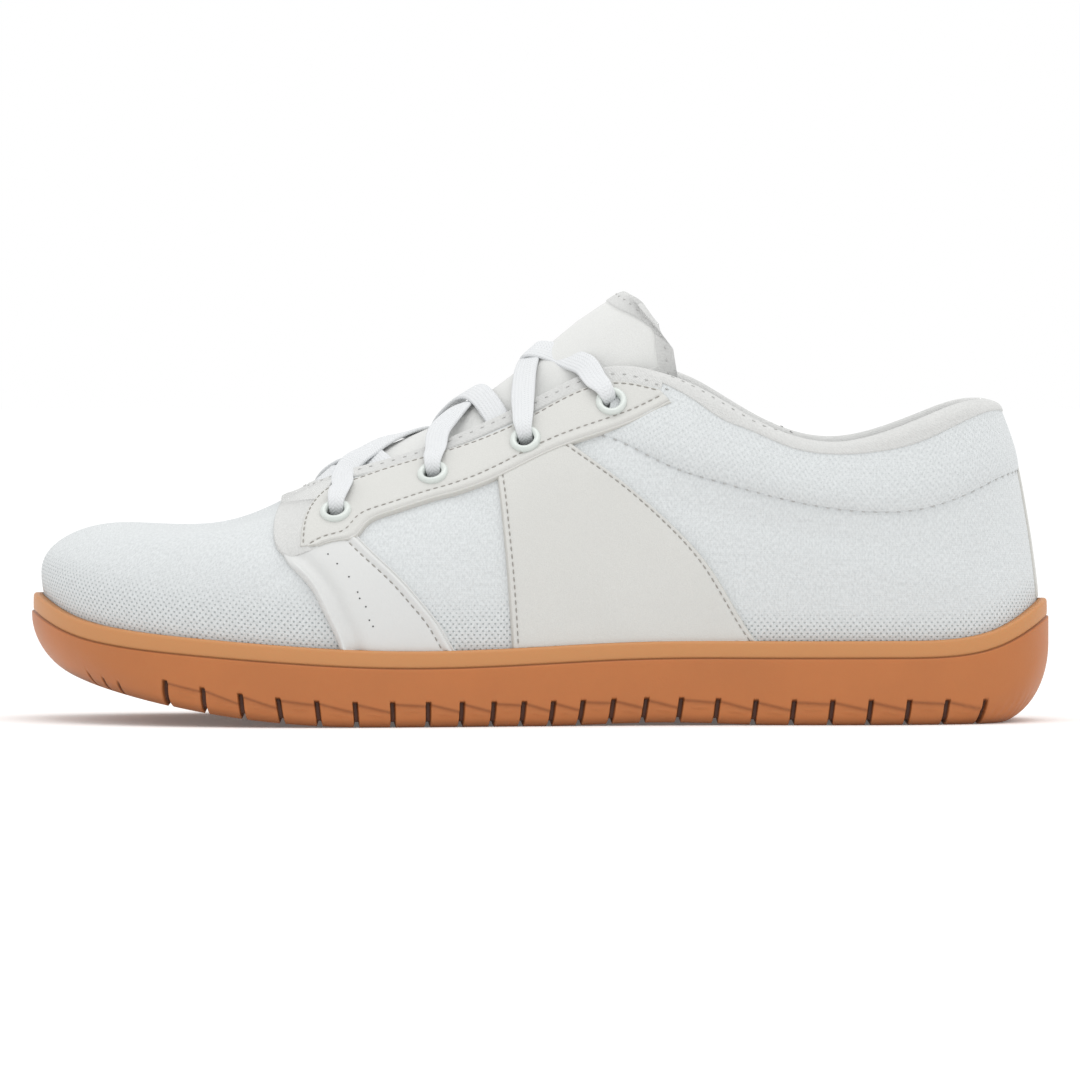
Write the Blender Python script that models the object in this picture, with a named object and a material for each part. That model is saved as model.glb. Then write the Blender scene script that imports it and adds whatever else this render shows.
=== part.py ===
"""Left barefoot shoe with a gum cup sole, insole, hollow knit upper, tongue, overlays, eyelets and lace.

Metres, toe towards +X, outer side of the foot towards +Y, standing on z = 0.
A station runs round the shoe: 0 at the heel, 1 at the toe along the outer side, and on to 2 at the
heel along the inner side. Rise runs up the upper: 0 at the sole's rim and 1 at the opening's edge.
"""

import math

import bmesh
import bpy
import numpy as np

# Main sizes
SHOE_LENGTH = 0.288
BALL_WIDTH = 0.108
QUARTER_HEIGHT = 0.100
TONGUE_HEIGHT = 0.1215
CLEARANCE = 0.0003

# Cup sole
RIM_HEIGHT = 0.0236
RIM_WALL = 0.0025
SOLE_THICKNESS = 0.0065
TOE_SPRING = 0.0165
SPRING_START = 0.66
ARCH_LIFT = 0.0008
ARCH_START = 0.26
ARCH_END = 0.50
BAND_DROP = 0.0053
BAND_STEP = 0.0005
SIDE_ROUND = (0.0030, 0.0035)
HEEL_ROUND = (0.0150, 0.0220)
TOE_ROUND = (0.0130, 0.0160)
EDGE_ANGLES = (0.0, 20.0, 40.0, 62.0, 90.0)
CUP_SHARES = (0.45, 0.75, 1.0)
GROOVE_WIDTH = 0.0015
GROOVE_DEPTH = 0.0018
GROOVE_HEIGHT = 0.0055
TREAD_DEPTH = 0.0016
GROOVE_PITCH = 0.0108
WAIST_PITCH = 0.0081
FIRST_GROOVE = 0.066
LAST_GROOVE = 0.90
WAIST_PLACE = 0.48
WAIST_SPREAD = 0.12

# Upper, insole and tongue
UPPER_WALL = 0.0020
COLLAR_PAD = 0.0038
COLLAR_END = (0.37, 0.45)
PAD_RISE = (0.45, 0.90)
INNER_RISE = 0.0012
BINDING_STEP = 0.0005
BINDING_START = 0.93
BINDING_SLOPE = 0.008
BINDING_ROUND = (50.0, 90.0, 130.0)
INSOLE_THICKNESS = 0.0030
TONGUE_THICKNESS = 0.0035
TONGUE_SHIFT = -0.0004
LINING_GAP = 0.0011
WALL_RISES = (0.10, 0.22, 0.36, 0.50, 0.64, 0.78)
LINING_RISES = (1.0, 0.88, 0.72, 0.50, 0.25, 0.0)

# Overlays, eyelets and lace
OVERLAY_LIFT = 0.0006
OVERLAY_THICKNESS = 0.0011
EYELET_FLANGE = 0.0083
EYELET_BORE = 0.0048
EYELET_WALL = 0.0004
EYELET_PROUD = 0.0010
LACE_WIDTH = 0.0070
LACE_THICKNESS = 0.0014
STRAND_STEP = 0.0008
EDGE_LIFT = 0.0053
EDGE_AHEAD = 0.10
LAST_EDGE_BACK = 0.45

# Rises between which the overlays lie
PANEL_FOOT = 0.015
PANEL_TOP = 0.90

# Columns of faces round the shoe, the heel strip's on each side, and sides of an eyelet
COLUMNS = 72
HEEL_STRIP_COLUMNS = 1
TURN_WEIGHT = 0.9
EYELET_SIDES = 10

GUM = ("gum_rubber", (0.50, 0.22, 0.09), 0.55)
KNIT = ("white_knit", (0.78, 0.80, 0.81), 0.90)
SUEDE = ("white_suede", (0.72, 0.71, 0.68), 0.90)
LEATHER = ("white_leather", (0.76, 0.76, 0.75), 0.55)
COTTON = ("white_cotton", (0.84, 0.85, 0.87), 0.85)
ENAMEL = ("pale_enamel", (0.66, 0.72, 0.66), 0.30)
FOAM = ("grey_foam", (0.55, 0.56, 0.57), 0.95)


def table(names, *rows):
    """A table with named columns."""
    return dict(zip(names.split(), np.array(rows, dtype=float).T))


# Plan of the sole: share of the length, half widths as shares of the ball width
OUTLINE = table(
    "along lateral medial",
    (0.000, 0.000, 0.000),
    (0.018, 0.165, 0.160),
    (0.060, 0.262, 0.256),
    (0.120, 0.318, 0.310),
    (0.210, 0.342, 0.330),
    (0.310, 0.344, 0.318),
    (0.410, 0.366, 0.316),
    (0.510, 0.414, 0.346),
    (0.610, 0.470, 0.412),
    (0.700, 0.496, 0.470),
    (0.780, 0.484, 0.488),
    (0.860, 0.420, 0.462),
    (0.925, 0.310, 0.400),
    (0.973, 0.150, 0.300),
    (1.000, -0.110, 0.110),
)

# Height of the sole's rim as a share of RIM_HEIGHT
RIM = table(
    "along height",
    (0.00, 1.47),
    (0.02, 1.31),
    (0.05, 1.13),
    (0.09, 1.025),
    (0.15, 1.00),
    (0.27, 1.00),
    (0.40, 0.995),
    (0.55, 0.915),
    (0.66, 0.91),
    (0.75, 0.97),
    (0.85, 1.064),
    (0.92, 1.16),
    (0.96, 1.275),
    (0.98, 1.38),
    (1.00, 1.52),
)

# Sections of the upper, named by where they stand on the sole. The opening's edge is given as shares of
# the length, the ball width and the quarter height. Each (in, up) pair is how far the wall has drawn in
# and risen at a quarter, a half and three quarters of its rise. Belly is outward, in ball widths.
UPPER = table(
    "along edge_along edge_lateral edge_medial edge_height in1 up1 in2 up2 in3 up3 belly",
    (0.000, 0.0470, 0.000, 0.000, 0.878, 0.150, 0.25, 0.36, 0.50, 0.62, 0.75, 0.000),
    (0.030, 0.0580, 0.135, 0.135, 0.882, 0.130, 0.25, 0.34, 0.50, 0.61, 0.75, 0.004),
    (0.100, 0.1000, 0.255, 0.250, 0.855, 0.120, 0.25, 0.36, 0.50, 0.64, 0.75, 0.012),
    (0.200, 0.2000, 0.296, 0.290, 0.765, 0.150, 0.25, 0.42, 0.50, 0.70, 0.75, 0.014),
    (0.300, 0.2900, 0.280, 0.275, 0.822, 0.120, 0.25, 0.38, 0.50, 0.68, 0.75, 0.012),
    (0.380, 0.3550, 0.238, 0.240, 0.930, 0.080, 0.26, 0.30, 0.52, 0.60, 0.77, 0.008),
    (0.440, 0.4130, 0.176, 0.185, 0.995, 0.040, 0.27, 0.20, 0.54, 0.50, 0.79, 0.004),
    (0.520, 0.4850, 0.160, 0.172, 0.935, 0.02, 0.27, 0.18, 0.55, 0.50, 0.80, 0.000),
    (0.620, 0.5850, 0.162, 0.172, 0.800, 0.01, 0.28, 0.19, 0.57, 0.52, 0.81, 0.000),
    (0.710, 0.6600, 0.158, 0.166, 0.728, 0.01, 0.30, 0.20, 0.60, 0.54, 0.82, 0.000),
    (0.790, 0.6920, 0.118, 0.126, 0.703, 0.02, 0.32, 0.21, 0.60, 0.53, 0.79, 0.000),
    (0.870, 0.7120, 0.078, 0.088, 0.680, 0.03, 0.34, 0.24, 0.63, 0.58, 0.745, 0.000),
    (0.940, 0.7205, 0.038, 0.046, 0.672, 0.02, 0.38, 0.25, 0.640, 0.60, 0.675, 0.000),
    (1.000, 0.7235, -0.006, 0.006, 0.668, 0.02, 0.385, 0.26, 0.640, 0.64, 0.640, 0.000),
)

# Tongue inside the throat: the upper's stations and rises that its wings follow, and its crown
TONGUE_THROAT = table(
    "wing_along wing_rise edge_along edge_rise crown_along crown_height",
    (0.82, 0.84, 0.88, 0.90, 0.776, 0.462),
    (0.77, 0.84, 0.80, 0.95, 0.742, 0.470),
    (0.71, 0.85, 0.71, 0.98, 0.695, 0.588),
    (0.62, 0.86, 0.62, 1.00, 0.600, 0.690),
    (0.53, 0.86, 0.53, 1.00, 0.510, 0.836),
)

# Tongue above the throat: outer wing, edge and crown as shares of length, ball width, tongue height
TONGUE_FREE = table(
    "wing_along wing_side wing_height edge_along edge_side edge_height crown_along crown_height",
    (0.405, 0.156, 0.730, 0.436, 0.136, 0.825, 0.464, 0.923),
    (0.362, 0.156, 0.812, 0.406, 0.140, 0.882, 0.440, 0.965),
    (0.378, 0.146, 0.895, 0.404, 0.122, 0.940, 0.425, 0.988),
    (0.399, 0.126, 0.960, 0.407, 0.088, 0.986, 0.413, 1.000),
)

# Panels, as places of the side view: shares of the length and of the quarter height
EYESTAY_LOWER = table(
    "along height",
    (0.713, 0.498), (0.694, 0.512), (0.678, 0.519), (0.670, 0.540), (0.658, 0.5685), (0.643, 0.591),
    (0.558, 0.665), (0.483, 0.766), (0.408, 0.843), (0.370, 0.898),
)
EYESTAY_UPPER = table(
    "along height",
    (0.732, 0.495), (0.728, 0.570), (0.712, 0.636), (0.698, 0.662), (0.683, 0.6745), (0.660, 0.697),
    (0.581, 0.767), (0.505, 0.862), (0.425, 0.955), (0.382, 0.935),
)
STRIP_FRONT = table(
    "along height",
    (0.746, 0.466), (0.733, 0.424), (0.719, 0.376), (0.711, 0.332), (0.702, 0.280), (0.696, 0.240),
)
STRIP_REAR = table(
    "along height",
    (0.672, 0.508), (0.650, 0.460), (0.630, 0.405), (0.612, 0.345), (0.597, 0.290), (0.584, 0.235),
)
SADDLE_FRONT = table(
    "along height",
    (0.540, 0.662), (0.536, 0.570), (0.533, 0.480), (0.530, 0.370), (0.527, 0.240),
)
SADDLE_REAR = table(
    "along height",
    (0.462, 0.752), (0.415, 0.672), (0.378, 0.580), (0.336, 0.450), (0.293, 0.252),
)
COLLAR_SEAM = table(
    "along height",
    (0.372, 0.722), (0.319, 0.676), (0.284, 0.648), (0.250, 0.625), (0.217, 0.608), (0.176, 0.597),
    (0.140, 0.599), (0.096, 0.631), (0.052, 0.690),
)

# A strand's way over the tongue, from its own side (across 1) to the other (-1), and how far it gets
# from its own pair of eyelets to the next. The last pair's strands run on to the far eyelet.
TUCKED_STRAND = table("across ahead", (0.30, 0.10), (0.00, 0.27), (-0.28, 0.44), (-0.42, 0.58))
LAST_STRAND = table("across ahead", (0.30, -0.02), (0.00, -0.02), (-0.30, 0.02))

# Eyelet rows, from the front
EYELETS = table(
    "along height",
    (0.698, 0.605),
    (0.604, 0.710),
    (0.514, 0.803),
    (0.430, 0.908),
)


def curvatures(knots, values, period):
    """Second derivatives at the knots of the cubic spline through the values."""
    count = len(knots)
    matrix = np.eye(count)
    right = np.zeros_like(values)
    gaps = np.diff(np.append(knots, knots[0] + period))
    slopes = (np.roll(values, -1, 0) - values) / gaps[:, None]
    for i in range(count):
        if not period and i in (0, count - 1):
            continue
        matrix[i, i] = 2 * (gaps[i - 1] + gaps[i])
        matrix[i, i - 1] = gaps[i - 1]
        matrix[i, (i + 1) % count] = gaps[i]
        right[i] = 6 * (slopes[i] - slopes[i - 1])
    return np.linalg.solve(matrix, right)


def spline(knots, values, at, period=0.0):
    """A smooth curve through the values at the knots, closed where it has a period."""
    knots = np.asarray(knots, dtype=float)
    values = np.asarray(values, dtype=float)
    flat = values.reshape(len(knots), -1)
    bend = curvatures(knots, flat, period)
    place = np.asarray(at, dtype=float)
    if period:
        place = knots[0] + np.mod(place - knots[0], period)
        knots = np.append(knots, knots[0] + period)
        flat = np.vstack([flat, flat[:1]])
        bend = np.vstack([bend, bend[:1]])
    left = np.clip(np.searchsorted(knots, place, side="right") - 1, 0, len(knots) - 2)
    gap = (knots[left + 1] - knots[left])[..., None]
    after = ((place - knots[left])[..., None]) / gap
    before = 1 - after
    curve = before * flat[left] + after * flat[left + 1]
    curve += ((before ** 3 - before) * bend[left] + (after ** 3 - after) * bend[left + 1]) * gap ** 2 / 6
    return curve.reshape(place.shape + values.shape[1:])


def round_loop(lateral, medial):
    """Values round the shoe: up the outer side, and back down the inner side."""
    return np.concatenate([lateral, medial[-2:0:-1]])


def outline_stations():
    """Station of each row of OUTLINE, by the mean length along the outer and inner sides."""
    x = OUTLINE["along"] * SHOE_LENGTH
    steps = 0.0
    for side in ("lateral", "medial"):
        steps = steps + np.hypot(np.diff(x), np.diff(OUTLINE[side] * BALL_WIDTH))
    length = np.append(0.0, np.cumsum(steps))
    return length / length[-1]


ROW_STATIONS = outline_stations()
LOOP_STATIONS = round_loop(ROW_STATIONS, 2 - ROW_STATIONS)
OUTLINE_LOOP = np.stack([
    round_loop(OUTLINE["along"], OUTLINE["along"]) * SHOE_LENGTH,
    round_loop(OUTLINE["lateral"], -OUTLINE["medial"]) * BALL_WIDTH,
], axis=-1)


def station_of(along):
    """Station on the outer side at a share of the sole's length."""
    return np.interp(along, OUTLINE["along"], ROW_STATIONS)


UPPER_STATIONS = station_of(UPPER["along"])
UPPER_LOOP_STATIONS = round_loop(UPPER_STATIONS, 2 - UPPER_STATIONS)


def upper_loop():
    """Opening's edge, wall shares and belly round the shoe, a row for each section."""
    side = round_loop(UPPER["edge_lateral"], -UPPER["edge_medial"]) * BALL_WIDTH
    height = round_loop(UPPER["edge_height"], UPPER["edge_height"]) * QUARTER_HEIGHT
    height += INNER_RISE * np.sin(np.pi * np.clip(UPPER_LOOP_STATIONS - 1, 0, 1)) ** 2
    columns = [round_loop(UPPER["edge_along"], UPPER["edge_along"]) * SHOE_LENGTH, side, height]
    for name in ("in1", "in2", "in3", "up1", "up2", "up3"):
        columns.append(round_loop(UPPER[name], UPPER[name]))
    columns.append(round_loop(UPPER["belly"], UPPER["belly"]) * BALL_WIDTH)
    return np.stack(columns, axis=-1)


UPPER_LOOP = upper_loop()
WALL_KNOTS = np.linspace(0.0, 1.0, 5)


def outline(station):
    """Plan point of the sole's widest outline, and the outward direction there."""
    small = 1e-4
    point = spline(LOOP_STATIONS, OUTLINE_LOOP, station, 2.0)
    ahead = spline(LOOP_STATIONS, OUTLINE_LOOP, np.asarray(station) + small, 2.0)
    behind = spline(LOOP_STATIONS, OUTLINE_LOOP, np.asarray(station) - small, 2.0)
    run = ahead - behind
    run /= np.linalg.norm(run, axis=-1, keepdims=True)
    outward = np.stack([-run[..., 1], run[..., 0]], axis=-1)
    return point, outward


def plan_middle():
    """Middle of the sole's outline, which becomes the origin."""
    point, _ = outline(np.linspace(0.0, 2.0, 2001))
    return (point.min(axis=0) + point.max(axis=0)) / 2


MIDDLE = plan_middle()


def tread_height(x):
    """Height of the sole's underside: flat, lifted a little at the arch, sprung at the toe."""
    along = x / SHOE_LENGTH
    spring = np.clip((along - SPRING_START) / (1 - SPRING_START), 0, None) ** 2
    arch = np.clip((along - ARCH_START) / (ARCH_END - ARCH_START), 0, 1)
    return TOE_SPRING * spring + ARCH_LIFT * np.sin(np.pi * arch) ** 2


def rim_height(station):
    """Height of the sole's rim above the floor."""
    along = outline(station)[0][..., 0] / SHOE_LENGTH
    return RIM_HEIGHT * spline(RIM["along"], RIM["height"], np.clip(along, 0, 1))


def edge_round(station):
    """How far the lower edge is drawn in, and how high its rounding reaches."""
    point, outward = outline(station)
    heel = np.clip(-outward[..., 0], 0, 1) ** 2
    toe = np.clip(outward[..., 0], 0, 1) ** 2
    inset, reach = (
        side + (back - side) * heel + (front - side) * toe
        for side, back, front in zip(SIDE_ROUND, HEEL_ROUND, TOE_ROUND)
    )
    highest = 0.95 * (rim_height(station) - BAND_DROP - tread_height(point[..., 0]))
    return inset, np.minimum(reach, highest)


def wall_inset(station, over_tread):
    """How far the sole's outer wall stands in from the outline, at a height above the tread."""
    inset, reach = edge_round(station)
    share = np.clip(1 - over_tread / reach, 0, 1)
    return inset * (1 - np.sqrt(1 - share ** 2))


def plan_point(station, inset, height):
    """A point of the shoe at an inset from the sole's outline, in the finished frame."""
    point, outward = outline(station)
    plan = point - outward * np.asarray(inset)[..., None] - MIDDLE
    height = np.broadcast_to(height, plan.shape[:-1])
    return np.concatenate([plan, height[..., None]], axis=-1)


def x_of(station, inset):
    """Distance from the heel end of a point at an inset from the outline."""
    point, outward = outline(station)
    return point[..., 0] - outward[..., 0] * inset


def cup_inset(station, over_tread):
    """Inset of the cup's inner wall."""
    return wall_inset(station, over_tread) + BAND_STEP + RIM_WALL


def even_stations(count):
    """Stations that stand closer where the outline turns, paired across the shoe."""
    fine = np.linspace(0.0, 1.0, 801)
    weight = 0.0
    for side in (fine, 2 - fine):
        point, outward = outline(side)
        length = np.linalg.norm(np.diff(point, axis=0), axis=1)
        turn = np.linalg.norm(np.diff(outward, axis=0), axis=1)
        weight = weight + length / length.sum() + TURN_WEIGHT * turn / turn.sum()
    total = np.append(0.0, np.cumsum(weight))
    half = np.interp(np.linspace(0.0, total[-1], count // 2 + 1), total, fine)
    return round_loop(half, 2 - half)


STATIONS = even_stations(COLUMNS)


def upper_wall(station, rise):
    """Outer face of the upper, from the cup's floor (rise -1) past the rim (0) to the opening (1)."""
    station, rise = np.broadcast_arrays(np.asarray(station, float), np.asarray(rise, float))
    row = spline(UPPER_LOOP_STATIONS, UPPER_LOOP, station, 2.0)
    _, outward = outline(station)
    inset = BAND_STEP + RIM_WALL + CLEARANCE
    x = x_of(station, inset)
    rim = rim_height(station)
    foot = plan_point(station, np.full_like(rim, inset), rim)
    basis = spline(WALL_KNOTS, np.eye(5), np.clip(rise, 0, 1))
    drawn = np.sum(basis[..., 1:4] * row[..., 3:6], axis=-1) + basis[..., 4]
    risen = np.sum(basis[..., 1:4] * row[..., 6:9], axis=-1) + basis[..., 4]
    edge = row[..., :2] - MIDDLE
    plan = foot[..., :2] + (edge - foot[..., :2]) * drawn[..., None]
    plan = plan + outward * (row[..., 9] * np.sin(np.pi * np.clip(rise, 0, 1)))[..., None]
    height = rim + (row[..., 2] - rim) * risen
    above = np.concatenate([plan, height[..., None]], axis=-1)
    floor = tread_height(x) + SOLE_THICKNESS + CLEARANCE
    low = rim + (rim - floor) * np.clip(rise, -1, 0)
    low_inset = cup_inset(station, low - tread_height(x)) + CLEARANCE
    below = plan_point(station, low_inset, low)
    return np.where((rise < 0)[..., None], below, above)


def upper_normal(station, rise):
    """Outward direction of the upper's outer face above the rim."""
    small = 1e-3
    station, rise = np.broadcast_arrays(np.asarray(station, float), np.asarray(rise, float))
    rise = np.clip(rise, small, 1 - small)
    round_run = upper_wall(station + small, rise) - upper_wall(station - small, rise)
    up_run = upper_wall(station, rise + small) - upper_wall(station, rise - small)
    normal = np.cross(up_run, round_run)
    return normal / np.linalg.norm(normal, axis=-1, keepdims=True)


def smooth_step(low, high, value):
    """0 below low, 1 above high, and an even curve between."""
    share = np.clip((value - low) / (high - low), 0, 1)
    return share * share * (3 - 2 * share)


def wall_thickness(station, rise):
    """Wall of the upper, padded towards the collar's edge."""
    half = np.minimum(np.mod(station, 2), 2 - np.mod(station, 2))
    collar = 1 - smooth_step(station_of(COLLAR_END[0]), station_of(COLLAR_END[1]), half)
    return UPPER_WALL + COLLAR_PAD * collar * smooth_step(*PAD_RISE, rise)


def faces_between(rows, columns, close_rows, close_columns):
    """Quads of a grid of points, closed round either way."""
    faces = []
    for r in range(rows if close_rows else rows - 1):
        for c in range(columns if close_columns else columns - 1):
            next_r = (r + 1) % rows
            next_c = (c + 1) % columns
            faces.append((r * columns + c, r * columns + next_c,
                          next_r * columns + next_c, next_r * columns + c))
    return faces


def ladder(first, count):
    """Strips across the shoe that close a loop of paired stations."""
    faces = [(first, first + 1, first + count - 1)]
    for i in range(1, count // 2 - 1):
        faces.append((first + i, first + i + 1, first + count - i - 1, first + count - i))
    middle = first + count // 2
    faces.append((middle - 1, middle, middle + 1))
    return faces


def material(look):
    """Principled material with a colour and a roughness."""
    name, colour, roughness = look
    if name in bpy.data.materials:
        return bpy.data.materials[name]
    made = bpy.data.materials.new(name)
    made.use_nodes = True
    shader = made.node_tree.nodes["Principled BSDF"]
    shader.inputs["Base Color"].default_value = (*colour, 1.0)
    shader.inputs["Roughness"].default_value = roughness
    shader.inputs["Metallic"].default_value = 0.0
    return made


def add_mesh(name, points, faces, look, group):
    """A closed solid from points and faces, with its faces turned outwards."""
    mesh = bpy.data.meshes.new(name)
    mesh.from_pydata(np.reshape(points, (-1, 3)).tolist(), [], faces)
    work = bmesh.new()
    work.from_mesh(mesh)
    bmesh.ops.remove_doubles(work, verts=work.verts, dist=1e-6)
    bmesh.ops.recalc_face_normals(work, faces=work.faces)
    work.to_mesh(mesh)
    work.free()
    mesh.shade_smooth()
    mesh.set_sharp_from_angle(angle=math.radians(40))
    mesh.materials.append(material(look))
    made = bpy.data.objects.new(name, mesh)
    group.objects.link(made)
    return made


def add_patch(name, outer, inner, look, group):
    """A sheet with a thickness: two like grids of points, joined round their borders."""
    rows, columns = outer.shape[:2]
    offset = rows * columns
    faces = faces_between(rows, columns, False, False)
    faces += [tuple(offset + v for v in reversed(face)) for face in faces]
    border = [c for c in range(columns)]
    border += [r * columns + columns - 1 for r in range(1, rows)]
    border += [(rows - 1) * columns + c for c in range(columns - 2, -1, -1)]
    border += [r * columns for r in range(rows - 2, 0, -1)]
    for here, there in zip(border, border[1:] + border[:1]):
        faces.append((here, there, offset + there, offset + here))
    return add_mesh(name, np.concatenate([outer.reshape(-1, 3), inner.reshape(-1, 3)]), faces, look, group)


def cut(target, cutter, operation="DIFFERENCE"):
    """Boolean modifier on the target."""
    modifier = target.modifiers.new(cutter.name, "BOOLEAN")
    modifier.operation = operation
    modifier.solver = "EXACT"
    modifier.object = cutter


def hide_cutter(cutter):
    """Marks a guide shape that isn't part of the shoe."""
    cutter.hide_render = True
    cutter.display_type = "WIRE"


def sole_section():
    """Rows of the cup, from the tread round the edge, over the rim and down to the cup's floor."""
    rows = []
    inset, reach = edge_round(STATIONS)
    for angle in np.radians(EDGE_ANGLES):
        drawn = inset * (1 - math.sin(angle))
        base = tread_height(x_of(STATIONS, drawn))
        rows.append(plan_point(STATIONS, drawn, base + reach * (1 - math.cos(angle))))
    flat = np.zeros_like(STATIONS)
    rim = rim_height(STATIONS)
    rounding = 0.25 * RIM_WALL
    rows.append(plan_point(STATIONS, flat, rim - BAND_DROP))
    rows.append(plan_point(STATIONS, flat + BAND_STEP, rim - BAND_DROP + BAND_STEP))
    rows.append(plan_point(STATIONS, flat + BAND_STEP, rim - rounding))
    rows.append(plan_point(STATIONS, flat + BAND_STEP + rounding, rim))
    rows.append(plan_point(STATIONS, flat + BAND_STEP + RIM_WALL, rim))
    tread = tread_height(x_of(STATIONS, flat + RIM_WALL))
    for share in CUP_SHARES:
        height = rim + (tread + SOLE_THICKNESS - rim) * share
        rows.append(plan_point(STATIONS, cup_inset(STATIONS, height - tread), height))
    return np.array(rows)


def groove_places():
    """Distances from the heel of the tread's grooves, closer at the waist."""
    places = [FIRST_GROOVE * SHOE_LENGTH]
    while places[-1] < LAST_GROOVE * SHOE_LENGTH:
        along = places[-1] / SHOE_LENGTH
        waist = math.exp(-((along - WAIST_PLACE) / WAIST_SPREAD) ** 2)
        places.append(places[-1] + GROOVE_PITCH - (GROOVE_PITCH - WAIST_PITCH) * waist)
    return places[:-1]


def half_widths(x):
    """Half widths of the sole's outline at a distance from the heel, outer and inner."""
    fine = np.linspace(0.0, 1.0, 801)
    outer, _ = outline(fine)
    inner, _ = outline(2 - fine)
    return np.interp(x, outer[:, 0], outer[:, 1]), -np.interp(x, inner[:, 0], inner[:, 1])


def tread_cutter(group):
    """U-shaped slabs, one for each groove: across the tread and up both sides."""
    points = []
    faces = []
    for x in groove_places():
        lateral, medial = half_widths(x)
        base = float(tread_height(np.array(x)))
        top = base + GROOVE_HEIGHT
        roof = base + TREAD_DEPTH
        far = BALL_WIDTH
        left = lateral - GROOVE_DEPTH
        right = -medial + GROOVE_DEPTH
        profile = [(-far, -far), (far, -far), (far, top), (left, top), (left, roof),
                   (right, roof), (right, top), (-far, top)]
        first = len(points)
        for shift in (-0.5, 0.5):
            for y, z in profile:
                points.append((x + shift * GROOVE_WIDTH - MIDDLE[0], y - MIDDLE[1], z))
        count = len(profile)
        faces.append(tuple(first + i for i in range(count)))
        faces.append(tuple(first + count + i for i in reversed(range(count))))
        for i in range(count):
            after = (i + 1) % count
            faces.append((first + i, first + count + i, first + count + after, first + after))
    cutter = add_mesh("tread_cutter", points, faces, GUM, group)
    hide_cutter(cutter)
    return cutter


def build_outsole(group, guides):
    """Cup sole with its rim, side band, toe spring and grooved tread."""
    rows = sole_section()
    count, columns = rows.shape[:2]
    faces = faces_between(count, columns, False, True)
    faces += ladder(0, columns)
    faces += ladder((count - 1) * columns, columns)
    outsole = add_mesh("outsole", rows, faces, GUM, group)
    cut(outsole, tread_cutter(guides))


def build_insole(group):
    """Thin footbed on the cup's floor, inside the foot of the upper."""
    rows = []
    for over in (CLEARANCE, CLEARANCE + INSOLE_THICKNESS):
        tread = tread_height(x_of(STATIONS, RIM_WALL))
        height = tread + SOLE_THICKNESS + over
        inset = cup_inset(STATIONS, SOLE_THICKNESS) + UPPER_WALL + 3 * CLEARANCE
        rows.append(plan_point(STATIONS, inset, height))
    faces = faces_between(2, COLUMNS, False, True) + ladder(0, COLUMNS) + ladder(COLUMNS, COLUMNS)
    add_mesh("insole", np.array(rows), faces, FOAM, group)


def upper_faces(station, rise, depth):
    """Points at a depth under the upper's outer face."""
    return upper_wall(station, rise) - upper_normal(station, rise) * np.asarray(depth)[..., None]


def build_upper(group):
    """Hollow upper: outer face up to the opening, round edge, lining down to the cup's floor."""
    rows = []
    for rise in (-1.0, -0.5, 0.0):
        rows.append(upper_wall(STATIONS, rise))
    below = BINDING_START - BINDING_SLOPE
    for rise in (*WALL_RISES, below, BINDING_START, 1.0):
        proud = BINDING_STEP if rise >= BINDING_START else 0.0
        rows.append(upper_faces(STATIONS, rise, np.full(COLUMNS, -proud)))
    normal = upper_normal(STATIONS, 1.0)
    upward = np.cross(np.roll(rows[-1], -1, 0) - np.roll(rows[-1], 1, 0), normal)
    upward /= np.linalg.norm(upward, axis=-1, keepdims=True)
    upward *= np.sign(np.sum(upward * (upper_wall(STATIONS, 1.0) - upper_wall(STATIONS, 0.98)), -1))[:, None]
    radius = ((wall_thickness(STATIONS, 1.0) + BINDING_STEP) / 2)[:, None]
    centre = rows[-1] - normal * radius
    for angle in np.radians(BINDING_ROUND):
        rows.append(centre + radius * (normal * math.cos(angle) + upward * math.sin(angle)))
    for rise in LINING_RISES:
        rows.append(upper_faces(STATIONS, rise, wall_thickness(STATIONS, np.full(COLUMNS, rise))))
    _, outward = outline(STATIONS)
    inward = np.concatenate([outward, np.zeros((COLUMNS, 1))], axis=1) * UPPER_WALL
    rows.append(upper_wall(STATIONS, -0.5) - inward)
    rows.append(upper_wall(STATIONS, -1.0) - inward)
    points = np.array(rows)
    add_mesh("upper", points, faces_between(len(points), COLUMNS, True, True), KNIT, group)


def lining_point(along, rise, side):
    """A point just inside the upper's lining, on the outer side (+1) or the inner side (-1)."""
    half = station_of(along)
    station = half if side > 0 else 2 - half
    depth = wall_thickness(station, rise) + LINING_GAP
    return upper_faces(station, min(rise, 1.0), depth)


def tongue_rows():
    """Five points across the tongue's outer face for each row, from the front to the tip."""
    rows = []
    count = len(TONGUE_THROAT["crown_along"])
    for i in range(count):
        row = {name: column[i] for name, column in TONGUE_THROAT.items()}
        crown = (row["crown_along"] * SHOE_LENGTH - MIDDLE[0], TONGUE_SHIFT - MIDDLE[1],
                 row["crown_height"] * TONGUE_HEIGHT)
        rows.append([
            lining_point(row["wing_along"], row["wing_rise"], -1),
            lining_point(row["edge_along"], row["edge_rise"], -1),
            np.array(crown),
            lining_point(row["edge_along"], row["edge_rise"], 1),
            lining_point(row["wing_along"], row["wing_rise"], 1),
        ])
    for i in range(len(TONGUE_FREE["crown_along"])):
        row = {name: column[i] for name, column in TONGUE_FREE.items()}
        points = []
        for name, side in (("wing", -1), ("edge", -1), ("crown", 0), ("edge", 1), ("wing", 1)):
            across = side * row[name + "_side"] * BALL_WIDTH if side else 0.0
            points.append(np.array([
                row[name + "_along"] * SHOE_LENGTH - MIDDLE[0],
                across + TONGUE_SHIFT - MIDDLE[1],
                row[name + "_height"] * TONGUE_HEIGHT,
            ]))
        rows.append(points)
    return np.array(rows)


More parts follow.
